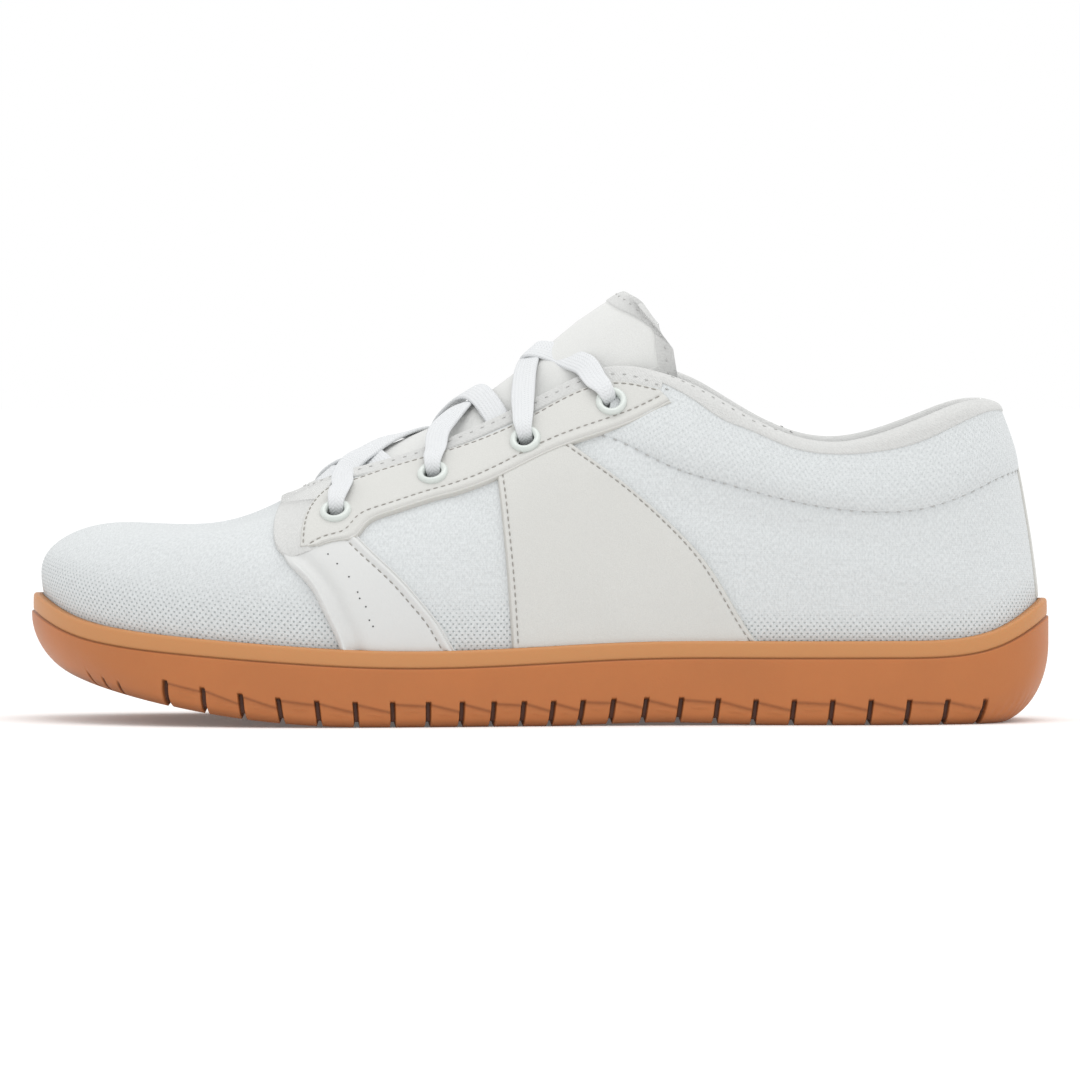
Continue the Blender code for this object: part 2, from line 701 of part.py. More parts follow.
TONGUE_ROWS = tongue_rows()
TONGUE_KNOTS = np.arange(len(TONGUE_ROWS))
ACROSS_KNOTS = np.array([-1.0, -0.6, 0.0, 0.6, 1.0])


def tongue_face(row, across):
    """Outer face of the tongue: row counts from the front, across runs from inner to outer side."""
    row, across = np.broadcast_arrays(np.asarray(row, float), np.asarray(across, float))
    lines = spline(TONGUE_KNOTS, TONGUE_ROWS, row)
    basis = spline(ACROSS_KNOTS, np.eye(5), across)
    return np.sum(basis[..., None] * lines, axis=-2)


def tongue_normal(row, across):
    """Outward direction of the tongue's outer face."""
    small = 1e-3
    row = np.clip(row, small, TONGUE_KNOTS[-1] - small)
    across = np.clip(across, -1 + small, 1 - small)
    along_run = tongue_face(row + small, across) - tongue_face(row - small, across)
    across_run = tongue_face(row, across + small) - tongue_face(row, across - small)
    normal = np.cross(across_run, along_run)
    return normal / np.linalg.norm(normal, axis=-1, keepdims=True)


def build_tongue(group):
    """Padded tongue that runs from under the vamp, through the throat, to its free tip."""
    row, across = np.meshgrid(np.linspace(0, TONGUE_KNOTS[-1], 15), np.linspace(-1, 1, 11), indexing="ij")
    outer = tongue_face(row, across)
    inner = outer - tongue_normal(row, across) * TONGUE_THICKNESS
    add_patch("tongue", outer, inner, COTTON, group)


class SideView:
    """Finds where the upper passes a place of the side view."""

    def __init__(self):
        self.station, self.rise = np.meshgrid(np.linspace(0.0, 1.0, 241), np.linspace(0.0, 1.0, 121))
        self.grid = {1: upper_wall(self.station, self.rise), -1: upper_wall(2 - self.station, self.rise)}

    def settle(self, along, height, side):
        """Station and rise of a place given as shares of the length and of the quarter height."""
        x = along * SHOE_LENGTH - MIDDLE[0]
        z = height * QUARTER_HEIGHT
        grid = self.grid[side]
        nearest = np.argmin((grid[..., 0] - x) ** 2 + (grid[..., 2] - z) ** 2)
        half = self.station.flat[nearest]
        return (half if side > 0 else 2 - half), self.rise.flat[nearest]

    def curve(self, places, side, count):
        """Stations and rises of evenly spaced points along a panel's edge."""
        along = places["along"] * SHOE_LENGTH
        height = places["height"] * QUARTER_HEIGHT
        length = np.append(0.0, np.cumsum(np.hypot(np.diff(along), np.diff(height))))
        at = np.linspace(0.0, length[-1], count)
        smooth = spline(length, np.stack([along, height], axis=-1), at)
        found = [self.settle(x / SHOE_LENGTH, z / QUARTER_HEIGHT, side) for x, z in smooth]
        return np.array(found)


def add_overlay(name, first, second, rows, look, group):
    """A panel on the upper between two edges, each an array of stations and rises."""
    share = np.linspace(0.0, 1.0, rows)[:, None, None]
    places = first * (1 - share) + second * share
    station, rise = places[..., 0], np.clip(places[..., 1], PANEL_FOOT, PANEL_TOP)
    inner = upper_faces(station, rise, np.full(station.shape, -OVERLAY_LIFT))
    outer = upper_faces(station, rise, np.full(station.shape, -OVERLAY_LIFT - OVERLAY_THICKNESS))
    return add_patch(name, outer, inner, look, group)


def build_side_panels(view, group):
    """Eyestay, forefoot strip and saddle on each side."""
    eyestays = []
    for side, word in ((1, "lateral"), (-1, "medial")):
        lower = view.curve(EYESTAY_LOWER, side, 16)
        upper = view.curve(EYESTAY_UPPER, side, 16)
        eyestays.append(add_overlay("eyestay_" + word, lower, upper, 5, SUEDE, group))
        front = view.curve(STRIP_FRONT, side, 8)
        rear = view.curve(STRIP_REAR, side, 8)
        add_overlay("forefoot_strip_" + word, front, rear, 5, LEATHER, group)
        front = view.curve(SADDLE_FRONT, side, 9)
        rear = view.curve(SADDLE_REAR, side, 9)
        add_overlay("saddle_" + word, front, rear, 6, SUEDE, group)
    return eyestays


def heel_stations(count):
    """The sole's own stations round the heel, a number of columns out to both sides."""
    half = STATIONS[:count + 1]
    return np.concatenate([half[::-1], -half[1:]])


def build_collar_panel(view, group):
    """Padded panel under the collar's edge, round the heel from side to side."""
    seam = view.curve(COLLAR_SEAM, 1, 16)[::-1]
    station = heel_stations(int(np.searchsorted(STATIONS[:COLUMNS // 2], seam[-1, 0])) - 1)
    low = np.stack([station, np.interp(np.abs(station), seam[:, 0], seam[:, 1])], axis=-1)
    high = low.copy()
    high[:, 1] = PANEL_TOP
    add_overlay("collar_panel", low, high, 4, KNIT, group)


def build_heel_strip(view, group):
    """Narrow strip up the back of the heel, from the rim to the collar panel."""
    seam = view.curve(COLLAR_SEAM, 1, 16)
    station = heel_stations(HEEL_STRIP_COLUMNS)
    low = np.stack([station, np.full_like(station, PANEL_FOOT)], axis=-1)
    high = low.copy()
    high[:, 1] = seam[-1, 1] - PANEL_FOOT
    add_overlay("heel_strip", low, high, 8, SUEDE, group)


def eyelet_profile():
    """Half section of an eyelet: radius and height over the eyestay's face, clockwise from the bore."""
    bore = EYELET_BORE / 2
    barrel = bore + EYELET_WALL
    flange = EYELET_FLANGE / 2
    seat = CLEARANCE
    through = -(OVERLAY_THICKNESS + OVERLAY_LIFT + UPPER_WALL)
    crest = (bore + flange) / 2
    return [(bore, through), (bore, seat + EYELET_PROUD / 2), (crest, seat + EYELET_PROUD),
            (flange, seat), (barrel, seat), (barrel, through)]


def frame_at(station, rise):
    """Centre on the eyestay's face, outward direction and two directions along the face."""
    normal = upper_normal(station, rise)
    centre = upper_wall(station, rise) + normal * (OVERLAY_LIFT + OVERLAY_THICKNESS)
    side = np.cross(normal, (0.0, 0.0, 1.0))
    side /= np.linalg.norm(side)
    return centre, normal, side, np.cross(normal, side)


def ring_points(frame, profile, segments):
    """A turned profile stood on a face."""
    centre, normal, side, ahead = frame
    points = []
    for radius, height in profile:
        for angle in np.linspace(0, 2 * math.pi, segments, endpoint=False):
            points.append(centre + normal * height + radius * (side * math.cos(angle) + ahead * math.sin(angle)))
    return np.array(points)


def build_eyelets(view, walls, group, guides):
    """Eyelets, and their holes through the eyestays and the upper."""
    segments = EYELET_SIDES
    profile = eyelet_profile()
    reach = EYELET_BORE / 2 + EYELET_WALL + CLEARANCE
    points = []
    faces = []
    frames = {}
    for side, word in ((1, "lateral"), (-1, "medial")):
        for i, (along, height) in enumerate(zip(EYELETS["along"], EYELETS["height"])):
            station, rise = view.settle(along, height, side)
            frame = frame_at(station, rise)
            frames[side, i] = (frame, station, rise)
            ring = faces_between(len(profile), segments, True, True)
            add_mesh(f"eyelet_{word}_{i + 1}", ring_points(frame, profile, segments), ring, ENAMEL, group)
            first = len(points)
            depth = 3 * UPPER_WALL
            points.extend(ring_points(frame, [(reach, -depth), (reach, depth)], segments))
            faces += [tuple(first + v for v in face) for face in faces_between(2, segments, False, True)]
            faces.append(tuple(first + c for c in range(segments)))
            faces.append(tuple(first + segments + c for c in reversed(range(segments))))
    cutter = add_mesh("eyelet_cutter", points, faces, ENAMEL, guides)
    hide_cutter(cutter)
    for wall in walls:
        cut(wall, cutter)
    return frames


def tongue_row_at(along):
    """Row of the tongue whose crown stands at a share of the length."""
    crowns = np.concatenate([TONGUE_THROAT["crown_along"], TONGUE_FREE["crown_along"]])
    return np.interp(-along, -crowns, TONGUE_KNOTS)


def over_edge(frames, i, side, towards, shift):
    """Point and face direction where a strand passes over the throat's edge."""
    station = frames[side, i][1]
    station = station + shift * (frames[side, towards][1] - station)
    normal = upper_normal(station, 1.0)
    return upper_wall(station, 1.0) + normal * EDGE_LIFT, normal


def beside_eyelet(frames, i, side, edge):
    """Where a strand ends, clear of its eyelet on the way to the throat's edge."""
    centre, normal, _, _ = frames[side, i][0]
    point = centre + normal * (EYELET_PROUD + LACE_THICKNESS)
    pull = edge - point
    return point + pull / np.linalg.norm(pull) * EYELET_BORE, normal


def lace_route(frames, i, side, last, lift):
    """Centre line and face directions of a strand from an eyelet across to the next pair."""
    edge, edge_normal = over_edge(frames, i, side, i + 1, 0.0 if last else EDGE_AHEAD)
    start, start_normal = beside_eyelet(frames, i, side, edge)
    points = [start, edge]
    normals = [start_normal, edge_normal]
    low, high = tongue_row_at(EYELETS["along"][i]), tongue_row_at(EYELETS["along"][i + 1])
    strand = LAST_STRAND if last else TUCKED_STRAND
    for across, ahead in zip(strand["across"], strand["ahead"]):
        row = low + (high - low) * ahead
        face = tongue_normal(row, side * across)
        points.append(tongue_face(row, side * across) + face * lift)
        normals.append(face)
    if last:
        edge, edge_normal = over_edge(frames, i + 1, -side, i, LAST_EDGE_BACK)
        end, end_normal = beside_eyelet(frames, i + 1, -side, edge)
        points += [edge, end]
        normals += [edge_normal, end_normal]
    return np.array(points), np.array(normals)


def band_solid(name, points, normals, group):
    """A flat lace along a route."""
    length = np.append(0.0, np.cumsum(np.linalg.norm(np.diff(points, axis=0), axis=1)))
    at = np.linspace(0, length[-1], 12)
    line = spline(length, points, at)
    normal = spline(length, normals, at)
    run = np.gradient(line, axis=0)
    run /= np.linalg.norm(run, axis=1, keepdims=True)
    width = np.cross(run, normal)
    width /= np.linalg.norm(width, axis=1, keepdims=True)
    normal = np.cross(width, run)
    half_width, half_thickness = LACE_WIDTH / 2, LACE_THICKNESS / 2
    corners = [(-1.0, 0.0), (-0.75, -1.0), (0.75, -1.0), (1.0, 0.0), (0.75, 1.0), (-0.75, 1.0)]
    rows = [line + width * half_width * a + normal * half_thickness * b for a, b in corners]
    grid = np.array(rows).transpose(1, 0, 2)
    count = len(corners)
    faces = faces_between(len(grid), count, False, True)
    faces.append(tuple(range(count)))
    faces.append(tuple(reversed(range((len(grid) - 1) * count, len(grid) * count))))
    return add_mesh(name, grid, faces, COTTON, group)


def build_lace(frames, group, guides):
    """Lace crossings over the tongue, each of two strands joined where they cross."""
    rows = len(EYELETS["along"])
    for i in range(rows - 1):
        last = i == rows - 2
        lift = CLEARANCE + LACE_THICKNESS
        strands = []
        for side in (1, -1):
            over = lift + (STRAND_STEP if side > 0 else 0.0)
            points, normals = lace_route(frames, i, side, last, over)
            home = group if side > 0 else guides
            word = f"lace_crossing_{i + 1}" if side > 0 else f"lace_under_{i + 1}"
            strands.append(band_solid(word, points, normals, home))
        hide_cutter(strands[1])
        cut(strands[0], strands[1], "UNION")


def build_shoe():
    """All sub-parts of the shoe."""
    for existing in list(bpy.data.objects):
        bpy.data.objects.remove(existing, do_unlink=True)
    group = bpy.data.collections.new("barefoot_shoe")
    guides = bpy.data.collections.new("cutters")
    for made in (group, guides):
        bpy.context.scene.collection.children.link(made)
    build_outsole(group, guides)
    build_insole(group)
    build_upper(group)
    build_tongue(group)
    view = SideView()
    eyestays = build_side_panels(view, group)
    build_collar_panel(view, group)
    build_heel_strip(view, group)
    frames = build_eyelets(view, eyestays + [group.objects["upper"]], group, guides)
    build_lace(frames, group, guides)


build_shoe()
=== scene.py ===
"""Looks of a left barefoot shoe: gum cup sole, knit upper, suede and leather overlays, tongue and flat lace.

Metres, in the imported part's frame: toe towards +X, outer side of the foot towards +Y, floor at z = 0.
A station runs round the shoe: 0 at the heel, 1 at the toe along the outer side, and on to 2 at the
heel along the inner side. Rise runs up the upper: 0 at the sole's rim and 1 at the opening's edge.
"""

import math

import bmesh
import bpy
import numpy as np
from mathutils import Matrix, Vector


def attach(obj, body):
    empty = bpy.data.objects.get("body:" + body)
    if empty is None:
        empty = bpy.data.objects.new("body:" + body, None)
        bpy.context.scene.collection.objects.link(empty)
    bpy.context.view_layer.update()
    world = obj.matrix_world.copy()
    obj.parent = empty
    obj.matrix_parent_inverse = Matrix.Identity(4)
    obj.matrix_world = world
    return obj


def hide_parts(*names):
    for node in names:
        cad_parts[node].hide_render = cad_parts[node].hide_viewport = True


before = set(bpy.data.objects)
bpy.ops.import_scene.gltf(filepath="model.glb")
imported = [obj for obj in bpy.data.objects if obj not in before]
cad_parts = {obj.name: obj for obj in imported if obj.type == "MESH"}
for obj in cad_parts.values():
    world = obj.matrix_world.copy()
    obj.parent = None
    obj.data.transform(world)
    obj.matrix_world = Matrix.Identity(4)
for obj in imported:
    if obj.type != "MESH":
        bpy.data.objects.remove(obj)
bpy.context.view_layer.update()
MM = 0.001
SAME_POINT = 2e-6
SMALL_STEP = 1e-3

# Main sizes
SHOE_LENGTH = 0.288
BALL_WIDTH = 0.108
QUARTER_HEIGHT = 0.100
TONGUE_HEIGHT = 0.1215

# Cup sole
RIM_HEIGHT = 0.0236
RIM_WALL = 0.0025
SOLE_THICKNESS = 0.0065
TOE_SPRING = 0.0165
SPRING_START = 0.66
ARCH_LIFT = 0.0008
ARCH_START = 0.26
ARCH_END = 0.50
BAND_DROP = 0.0053
BAND_STEP = 0.0005
SIDE_ROUND = (0.0030, 0.0035)
HEEL_ROUND = (0.0150, 0.0220)
TOE_ROUND = (0.0130, 0.0160)
GROOVE_DEPTH = 0.0018
GROOVE_TOP = 0.0072
TREAD_DEPTH = 0.0016
GROOVE_PITCH = 0.0108
WAIST_PITCH = 0.0081
FIRST_GROOVE = 0.066
LAST_GROOVE = 0.90
WAIST_PLACE = 0.48
WAIST_SPREAD = 0.12
TOE_NOTCHES = (0.912, 0.929, 0.946)
NOTCH_SIZE = 0.45
LEDGE_DEPTH = 0.0006
LEDGE_FALL = 0.0024
RIM_ROUND = 0.0009

# Half widths of a groove and of a toe notch, in millimetres: its floor's edge and its lug's edge
GROOVE_FLANKS = (0.52, 0.86)
NOTCH_FLANKS = (0.30, 0.52)

# Ridges round the heel: height, pitch and lean, and the length of half a turn round the sole, in millimetres
HEEL_RIDGE = 0.22
HEEL_RIDGE_PITCH = 3.4
HEEL_RIDGE_LEAN = 0.55
HALF_TURN = 340

# Section of the step below the rim band: drawn in and risen from the band's line, in millimetres
BAND_PROFILE = (
    (0.05, 0.12), (0.30, 0.30), (0.72, 0.42), (0.78, 0.62),
    (0.52, 0.80), (0.46, 1.2), (0.44, 2.2), (0.46, 3.2),
)

# Upper, insole and tongue
CLEARANCE = 0.0003
UPPER_WALL = 0.0020
COLLAR_PAD = 0.0038
COLLAR_END = (0.37, 0.45)
PAD_RISE = (0.45, 0.90)
INNER_RISE = 0.0012
TONGUE_THICKNESS = 0.0035
TONGUE_SHIFT = -0.0004
LINING_GAP = 0.0011

# Overlays, bindings, eyelets and lace. A lift is how far a face stands over the knit.
SUEDE_LIFT = 0.0016
LEATHER_LIFT = 0.0011
SADDLE_LIFT = 0.0013
THROAT_BAND_WIDTH = 0.0065
TONGUE_BINDING_WIDTH = 0.0068
TONGUE_CORNER = 0.6
EYELET_FLANGE = 0.0088
EYELET_BORE = 0.0050
EYELET_SIDES = 48
LACE_WIDTH = 0.0070
LACE_THICKNESS = 0.0013
LACE_SIDES = 22
LACE_PULLED_WIDTH = 0.0062
STRAND_LIFT = 0.0011
PANEL_SINK = 0.0007
PANEL_ROUND = 0.00055
NOSE_LIFT = 0.00115
HEEL_STRIP_LIFT = 0.0005
HEEL_STRIP_REACH = 0.0065
COLLAR_BAND_LIFT = 0.00055
THROAT_BAND_LIFT = 0.0005
THROAT_START = 0.405
TAPE_START_ROW = 4.2

# Stitch lines: distances from a panel's folded edge, its plain edge, and the saddle's edges
FOLD_STITCH = 0.0035
EDGE_STITCH = 0.0011
SADDLE_STITCH = 0.0017
LINE_POINTS = 200
LINE_TRIM = 0.0020

# Camera of the photograph, its floor and its light
VIEW_WIDTH = 0.3054
VIEW_CENTRE = (-0.0002, 0.0, 0.051)
VIEW_ELEVATION = 1.5
VIEW_DISTANCE = 3.2
SENSOR_WIDTH = 36.0
FLOOR_REACH = 6.0
LIGHT_PLACE = (-0.15, 0.35, 1.6)
LIGHT_TARGET = (0.0, 0.0, 0.05)
LIGHT_SIZE = 1.4
LIGHT_POWER = 11.0


def table(names, *rows):
    """A table with named columns."""
    return dict(zip(names.split(), np.array(rows, dtype=float).T))


def table_rows(columns):
    """The rows of a table, each with its names."""
    return [dict(zip(columns, row)) for row in zip(*columns.values())]


def side_places(*rows):
    """Places of the side view: shares of the length and of the quarter height."""
    return table("along height", *rows)


def route(*rows):
    """Places of the side view, with how far across the opening each lies."""
    return table("along height across", *rows)


# Plan of the sole: share of the length, half widths as shares of the ball width
OUTLINE = table(
    "along lateral medial",
    (0.000, 0.000, 0.000),
    (0.018, 0.165, 0.160),
    (0.060, 0.262, 0.256),
    (0.120, 0.318, 0.310),
    (0.210, 0.342, 0.330),
    (0.310, 0.344, 0.318),
    (0.410, 0.366, 0.316),
    (0.510, 0.414, 0.346),
    (0.610, 0.470, 0.412),
    (0.700, 0.496, 0.470),
    (0.780, 0.484, 0.488),
    (0.860, 0.420, 0.462),
    (0.925, 0.310, 0.400),
    (0.973, 0.150, 0.300),
    (1.000, -0.110, 0.110),
)

# Height of the sole's rim as a share of RIM_HEIGHT
RIM = table(
    "along height",
    (0.00, 1.47),
    (0.02, 1.31),
    (0.05, 1.13),
    (0.09, 1.025),
    (0.15, 1.00),
    (0.27, 1.00),
    (0.40, 0.995),
    (0.55, 0.915),
    (0.66, 0.91),
    (0.75, 0.97),
    (0.85, 1.064),
    (0.92, 1.16),
    (0.96, 1.275),
    (0.98, 1.38),
    (1.00, 1.52),
)

# Sections of the upper, named by where they stand on the sole. The opening's edge is given as shares of
# the length, the ball width and the quarter height. Each (in, up) pair is how far the wall has drawn in
# and risen at a quarter, a half and three quarters of its rise. Belly is outward, in ball widths.
UPPER = table(
    "along edge_along edge_lateral edge_medial edge_height in1 up1 in2 up2 in3 up3 belly",
    (0.000, 0.0470, 0.000, 0.000, 0.878, 0.150, 0.25, 0.36, 0.50, 0.62, 0.75, 0.000),
    (0.030, 0.0580, 0.135, 0.135, 0.882, 0.130, 0.25, 0.34, 0.50, 0.61, 0.75, 0.004),
    (0.100, 0.1000, 0.255, 0.250, 0.855, 0.120, 0.25, 0.36, 0.50, 0.64, 0.75, 0.012),
    (0.200, 0.2000, 0.296, 0.290, 0.765, 0.150, 0.25, 0.42, 0.50, 0.70, 0.75, 0.014),
    (0.300, 0.2900, 0.280, 0.275, 0.822, 0.120, 0.25, 0.38, 0.50, 0.68, 0.75, 0.012),
    (0.380, 0.3550, 0.238, 0.240, 0.930, 0.080, 0.26, 0.30, 0.52, 0.60, 0.77, 0.008),
    (0.440, 0.4130, 0.176, 0.185, 0.995, 0.040, 0.27, 0.20, 0.54, 0.50, 0.79, 0.004),
    (0.520, 0.4850, 0.160, 0.172, 0.935, 0.02, 0.27, 0.18, 0.55, 0.50, 0.80, 0.000),
    (0.620, 0.5850, 0.162, 0.172, 0.800, 0.01, 0.28, 0.19, 0.57, 0.52, 0.81, 0.000),
    (0.710, 0.6600, 0.158, 0.166, 0.728, 0.01, 0.30, 0.20, 0.60, 0.54, 0.82, 0.000),
    (0.790, 0.6920, 0.118, 0.126, 0.703, 0.02, 0.32, 0.21, 0.60, 0.53, 0.79, 0.000),
    (0.870, 0.7120, 0.078, 0.088, 0.680, 0.03, 0.34, 0.24, 0.63, 0.58, 0.745, 0.000),
    (0.940, 0.7205, 0.038, 0.046, 0.672, 0.02, 0.38, 0.25, 0.640, 0.60, 0.675, 0.000),
    (1.000, 0.7235, -0.006, 0.006, 0.668, 0.02, 0.385, 0.26, 0.640, 0.64, 0.640, 0.000),
)

# Tongue inside the throat: the upper's stations and rises that its wings follow, and its crown
TONGUE_THROAT = table(
    "wing_along wing_rise edge_along edge_rise crown_along crown_height",
    (0.82, 0.84, 0.88, 0.90, 0.776, 0.462),
    (0.77, 0.84, 0.80, 0.95, 0.742, 0.470),
    (0.71, 0.85, 0.71, 0.98, 0.695, 0.588),
    (0.62, 0.86, 0.62, 1.00, 0.600, 0.690),
    (0.53, 0.86, 0.53, 1.00, 0.510, 0.836),
)

# Tongue above the throat: outer wing, edge and crown as shares of length, ball width, tongue height
TONGUE_FREE = table(
    "wing_along wing_side wing_height edge_along edge_side edge_height crown_along crown_height",
    (0.405, 0.156, 0.730, 0.436, 0.136, 0.825, 0.464, 0.923),
    (0.362, 0.156, 0.812, 0.406, 0.140, 0.882, 0.440, 0.965),
    (0.378, 0.146, 0.895, 0.404, 0.122, 0.940, 0.425, 0.988),
    (0.399, 0.126, 0.960, 0.407, 0.088, 0.986, 0.413, 1.000),
)

# Seams and panel edges
EYESTAY_LOWER = side_places(
    (0.713, 0.498), (0.694, 0.512), (0.678, 0.5215), (0.6715, 0.540), (0.6660, 0.559), (0.6565, 0.576),
    (0.643, 0.589), (0.600, 0.628), (0.558, 0.665), (0.483, 0.766), (0.408, 0.843), (0.370, 0.898),
)
EYESTAY_UPPER = side_places(
    (0.732, 0.495), (0.728, 0.570), (0.712, 0.636), (0.698, 0.662), (0.683, 0.6745), (0.660, 0.697),
    (0.581, 0.767), (0.505, 0.862), (0.425, 0.955), (0.382, 0.935),
)
STRIP_FRONT = side_places(
    (0.7485, 0.480), (0.746, 0.466), (0.733, 0.424), (0.719, 0.376), (0.711, 0.332), (0.702, 0.280),
    (0.696, 0.240), (0.693, 0.205),
)
STRIP_REAR = side_places(
    (0.680, 0.545), (0.672, 0.520), (0.650, 0.460), (0.630, 0.405), (0.612, 0.345), (0.597, 0.290),
    (0.584, 0.225), (0.580, 0.205),
)
SADDLE_FRONT = side_places(
    (0.5415, 0.705), (0.539, 0.650), (0.536, 0.570), (0.533, 0.480), (0.530, 0.370), (0.527, 0.232),
    (0.5265, 0.205),
)
SADDLE_REAR = side_places(
    (0.473, 0.795), (0.462, 0.772), (0.415, 0.672), (0.378, 0.580), (0.336, 0.450), (0.289, 0.235),
    (0.285, 0.220),
)
COLLAR_SEAM = side_places(
    (0.437, 0.812), (0.405, 0.770), (0.372, 0.722), (0.319, 0.676), (0.284, 0.648), (0.250, 0.625),
    (0.217, 0.608), (0.176, 0.597), (0.140, 0.599), (0.096, 0.631), (0.052, 0.690),
)
NOSE_FRONT = side_places(
    (0.7400, 0.470), (0.7510, 0.484), (0.7565, 0.512), (0.7580, 0.548), (0.7560, 0.583), (0.7520, 0.606),
)
NOSE_REAR = side_places(
    (0.7150, 0.490), (0.7200, 0.510), (0.7215, 0.545), (0.7190, 0.585), (0.7120, 0.625),
)
EYESTAY_EDGES = (EYESTAY_LOWER, EYESTAY_UPPER)
STRIP_EDGES = (STRIP_FRONT, STRIP_REAR)
SADDLE_EDGES = (SADDLE_FRONT, SADDLE_REAR)
SIDES = ((1, "lateral"), (-1, "medial"))
STRIP_HOLES = side_places(
    (0.7043, 0.478), (0.6955, 0.4525), (0.6842, 0.4172), (0.6758, 0.3761), (0.6739, 0.3591),
    (0.6680, 0.3365), (0.6646, 0.2998), (0.6611, 0.2828),
)

# Soft hollows (negative) and swells of the knit, as seen from the side: millimetres and degrees
CREASES = table(
    "along height length width angle depth",
    (0.748, 0.440, 16, 5.0, -58, -0.9),
    (0.800, 0.470, 40, 14.0, 20, 0.5),
    (0.600, 0.480, 24, 16.0, 70, 0.7),
    (0.062, 0.470, 34, 9.0, 100, -0.7),
    (0.120, 0.420, 50, 12.0, 8, 0.5),
    (0.270, 0.560, 60, 8.0, 12, -0.7),
    (0.560, 0.600, 20, 5.0, 35, -0.5),
)

# How far the collar's binding reaches down the outer face, in millimetres
COLLAR_BINDING = table(
    "along width",
    (0.000, 0.8), (0.050, 1.0), (0.100, 2.6), (0.135, 3.2), (0.170, 2.0), (0.200, 0.9), (0.260, 0.6),
    (0.310, 0.8), (0.340, 2.0), (0.370, 1.4), (0.410, 1.4),
)

# Each strand's way over the shoe: shares of the length and of the quarter height, and across from the
# opening's middle (0) to its edge on the strand's own side (1) or the other side (-1). Past 1 it lies on
# the suede.
NEAR_STRANDS = (
    route(
        (0.6925, 0.676, 1.15), (0.6872, 0.720, 0.98), (0.6800, 0.742, 0.76), (0.6700, 0.760, 0.50),
        (0.6562, 0.784, 0.22), (0.6395, 0.804, -0.02), (0.6240, 0.812, -0.32), (0.6110, 0.808, -0.64),
        (0.6000, 0.780, -0.92), (0.5920, 0.740, -1.0),
    ),
    route(
        (0.6013, 0.772, 1.15), (0.5985, 0.818, 1.0), (0.5885, 0.856, 0.62), (0.5756, 0.890, 0.15),
        (0.5650, 0.902, -0.22), (0.5530, 0.910, -0.58), (0.5410, 0.900, -0.88), (0.5320, 0.860, -1.0),
    ),
    route(
        (0.5162, 0.876, 1.15), (0.5160, 0.922, 1.0), (0.5152, 0.955, 0.72), (0.5138, 0.988, 0.44),
        (0.5108, 1.018, 0.18), (0.5078, 1.030, 0.0), (0.4960, 1.036, -0.22), (0.4774, 1.026, -0.58),
        (0.4555, 1.004, -0.95), (0.4440, 0.962, -1.2),
    ),
)
FAR_STRANDS = (
    route(
        (0.7065, 0.672, 1.2), (0.7033, 0.706, 1.0), (0.6906, 0.736, 0.62), (0.6759, 0.752, 0.12),
        (0.6650, 0.746, -0.40), (0.6572, 0.732, -0.78), (0.6505, 0.708, -1.0), (0.6450, 0.670, -1.02),
    ),
    route(
        (0.6010, 0.800, 1.15), (0.5940, 0.848, 1.0), (0.5855, 0.884, 0.76), (0.5780, 0.910, 0.50),
        (0.5710, 0.926, 0.25), (0.5640, 0.930, 0.0), (0.5560, 0.916, -0.30), (0.5475, 0.886, -0.60),
        (0.5400, 0.850, -0.88), (0.5350, 0.812, -1.0), (0.5310, 0.780, -1.02),
    ),
    route(
        (0.5162, 0.880, 1.15), (0.5158, 0.930, 0.95), (0.5138, 0.988, 0.48), (0.5108, 1.028, 0.2),
        (0.5078, 1.048, 0.0), (0.4890, 1.044, -0.24), (0.4676, 1.020, -0.62), (0.4545, 1.004, -0.95),
        (0.4440, 0.962, -1.2),
    ),
)

# A strand's turn out of an eyelet, in millimetres: its height over the eyestay, how far along its pull,
# which way its face points, and its size
HOLE_TURN = table(
    "up along face_pull face_up width thickness",
    (-4.4, 0.9, -1.0, 0.1, 3.9, 1.5),
    (-1.6, 1.0, -1.0, 0.2, 4.0, 1.5),
    (0.1, 1.3, -0.9, 0.5, 4.2, 1.5),
    (1.5, 2.5, -0.5, 0.9, 4.6, 1.4),
    (1.9, 4.4, 0.0, 1.0, 5.3, 1.3),
)

# The first bar: how far across the tongue, and its height over it in thicknesses
FIRST_BAR = table("across over", (0.85, 0.6), (0.50, 0.8), (0.00, 1.0), (-0.50, 0.8), (-0.85, 0.6))

# Eyelet rows, from the front
EYELETS = side_places(
    (0.698, 0.605),
    (0.604, 0.710),
    (0.514, 0.803),
    (0.430, 0.908),
)
EYELET_ROWS = len(EYELETS["along"])

# Colours of the finishes, linear
GUM_BAND = (0.500, 0.222, 0.078)
GUM_WALL = (0.435, 0.145, 0.039)
# Painted shade in the sole's grooves, under its ledges and in the step below the rim band
GUM_GROOVE_SHADE = (0.070, 0.020, 0.007)
KNIT_WHITE = (0.652, 0.676, 0.682)
# Painted shade seen in the knit's holes
KNIT_HOLE_SHADE = (0.270, 0.310, 0.310)
SUEDE_WHITE = (0.630, 0.630, 0.605)
TONGUE_WHITE = (0.700, 0.705, 0.690)
LEATHER_WHITE = (0.625, 0.632, 0.624)
BAND_WHITE = (0.680, 0.684, 0.672)
LACE_WHITE = (0.700, 0.714, 0.726)
LINING_WHITE = (0.600, 0.615, 0.620)
INSOLE_GREY = (0.460, 0.470, 0.480)
ENAMEL_GREEN = (0.620, 0.660, 0.630)
# Grey seam thread, made darker to carry painted shade of its needle holes
THREAD_GREY_AND_SHADE = (0.330, 0.315, 0.290)
THREAD_WHITE = (0.500, 0.500, 0.490)
# Painted shade in the punched holes and at the eyelets' floors
HOLE_SHADE_TONE = (0.060, 0.060, 0.060)


# Curves and surfaces of the part

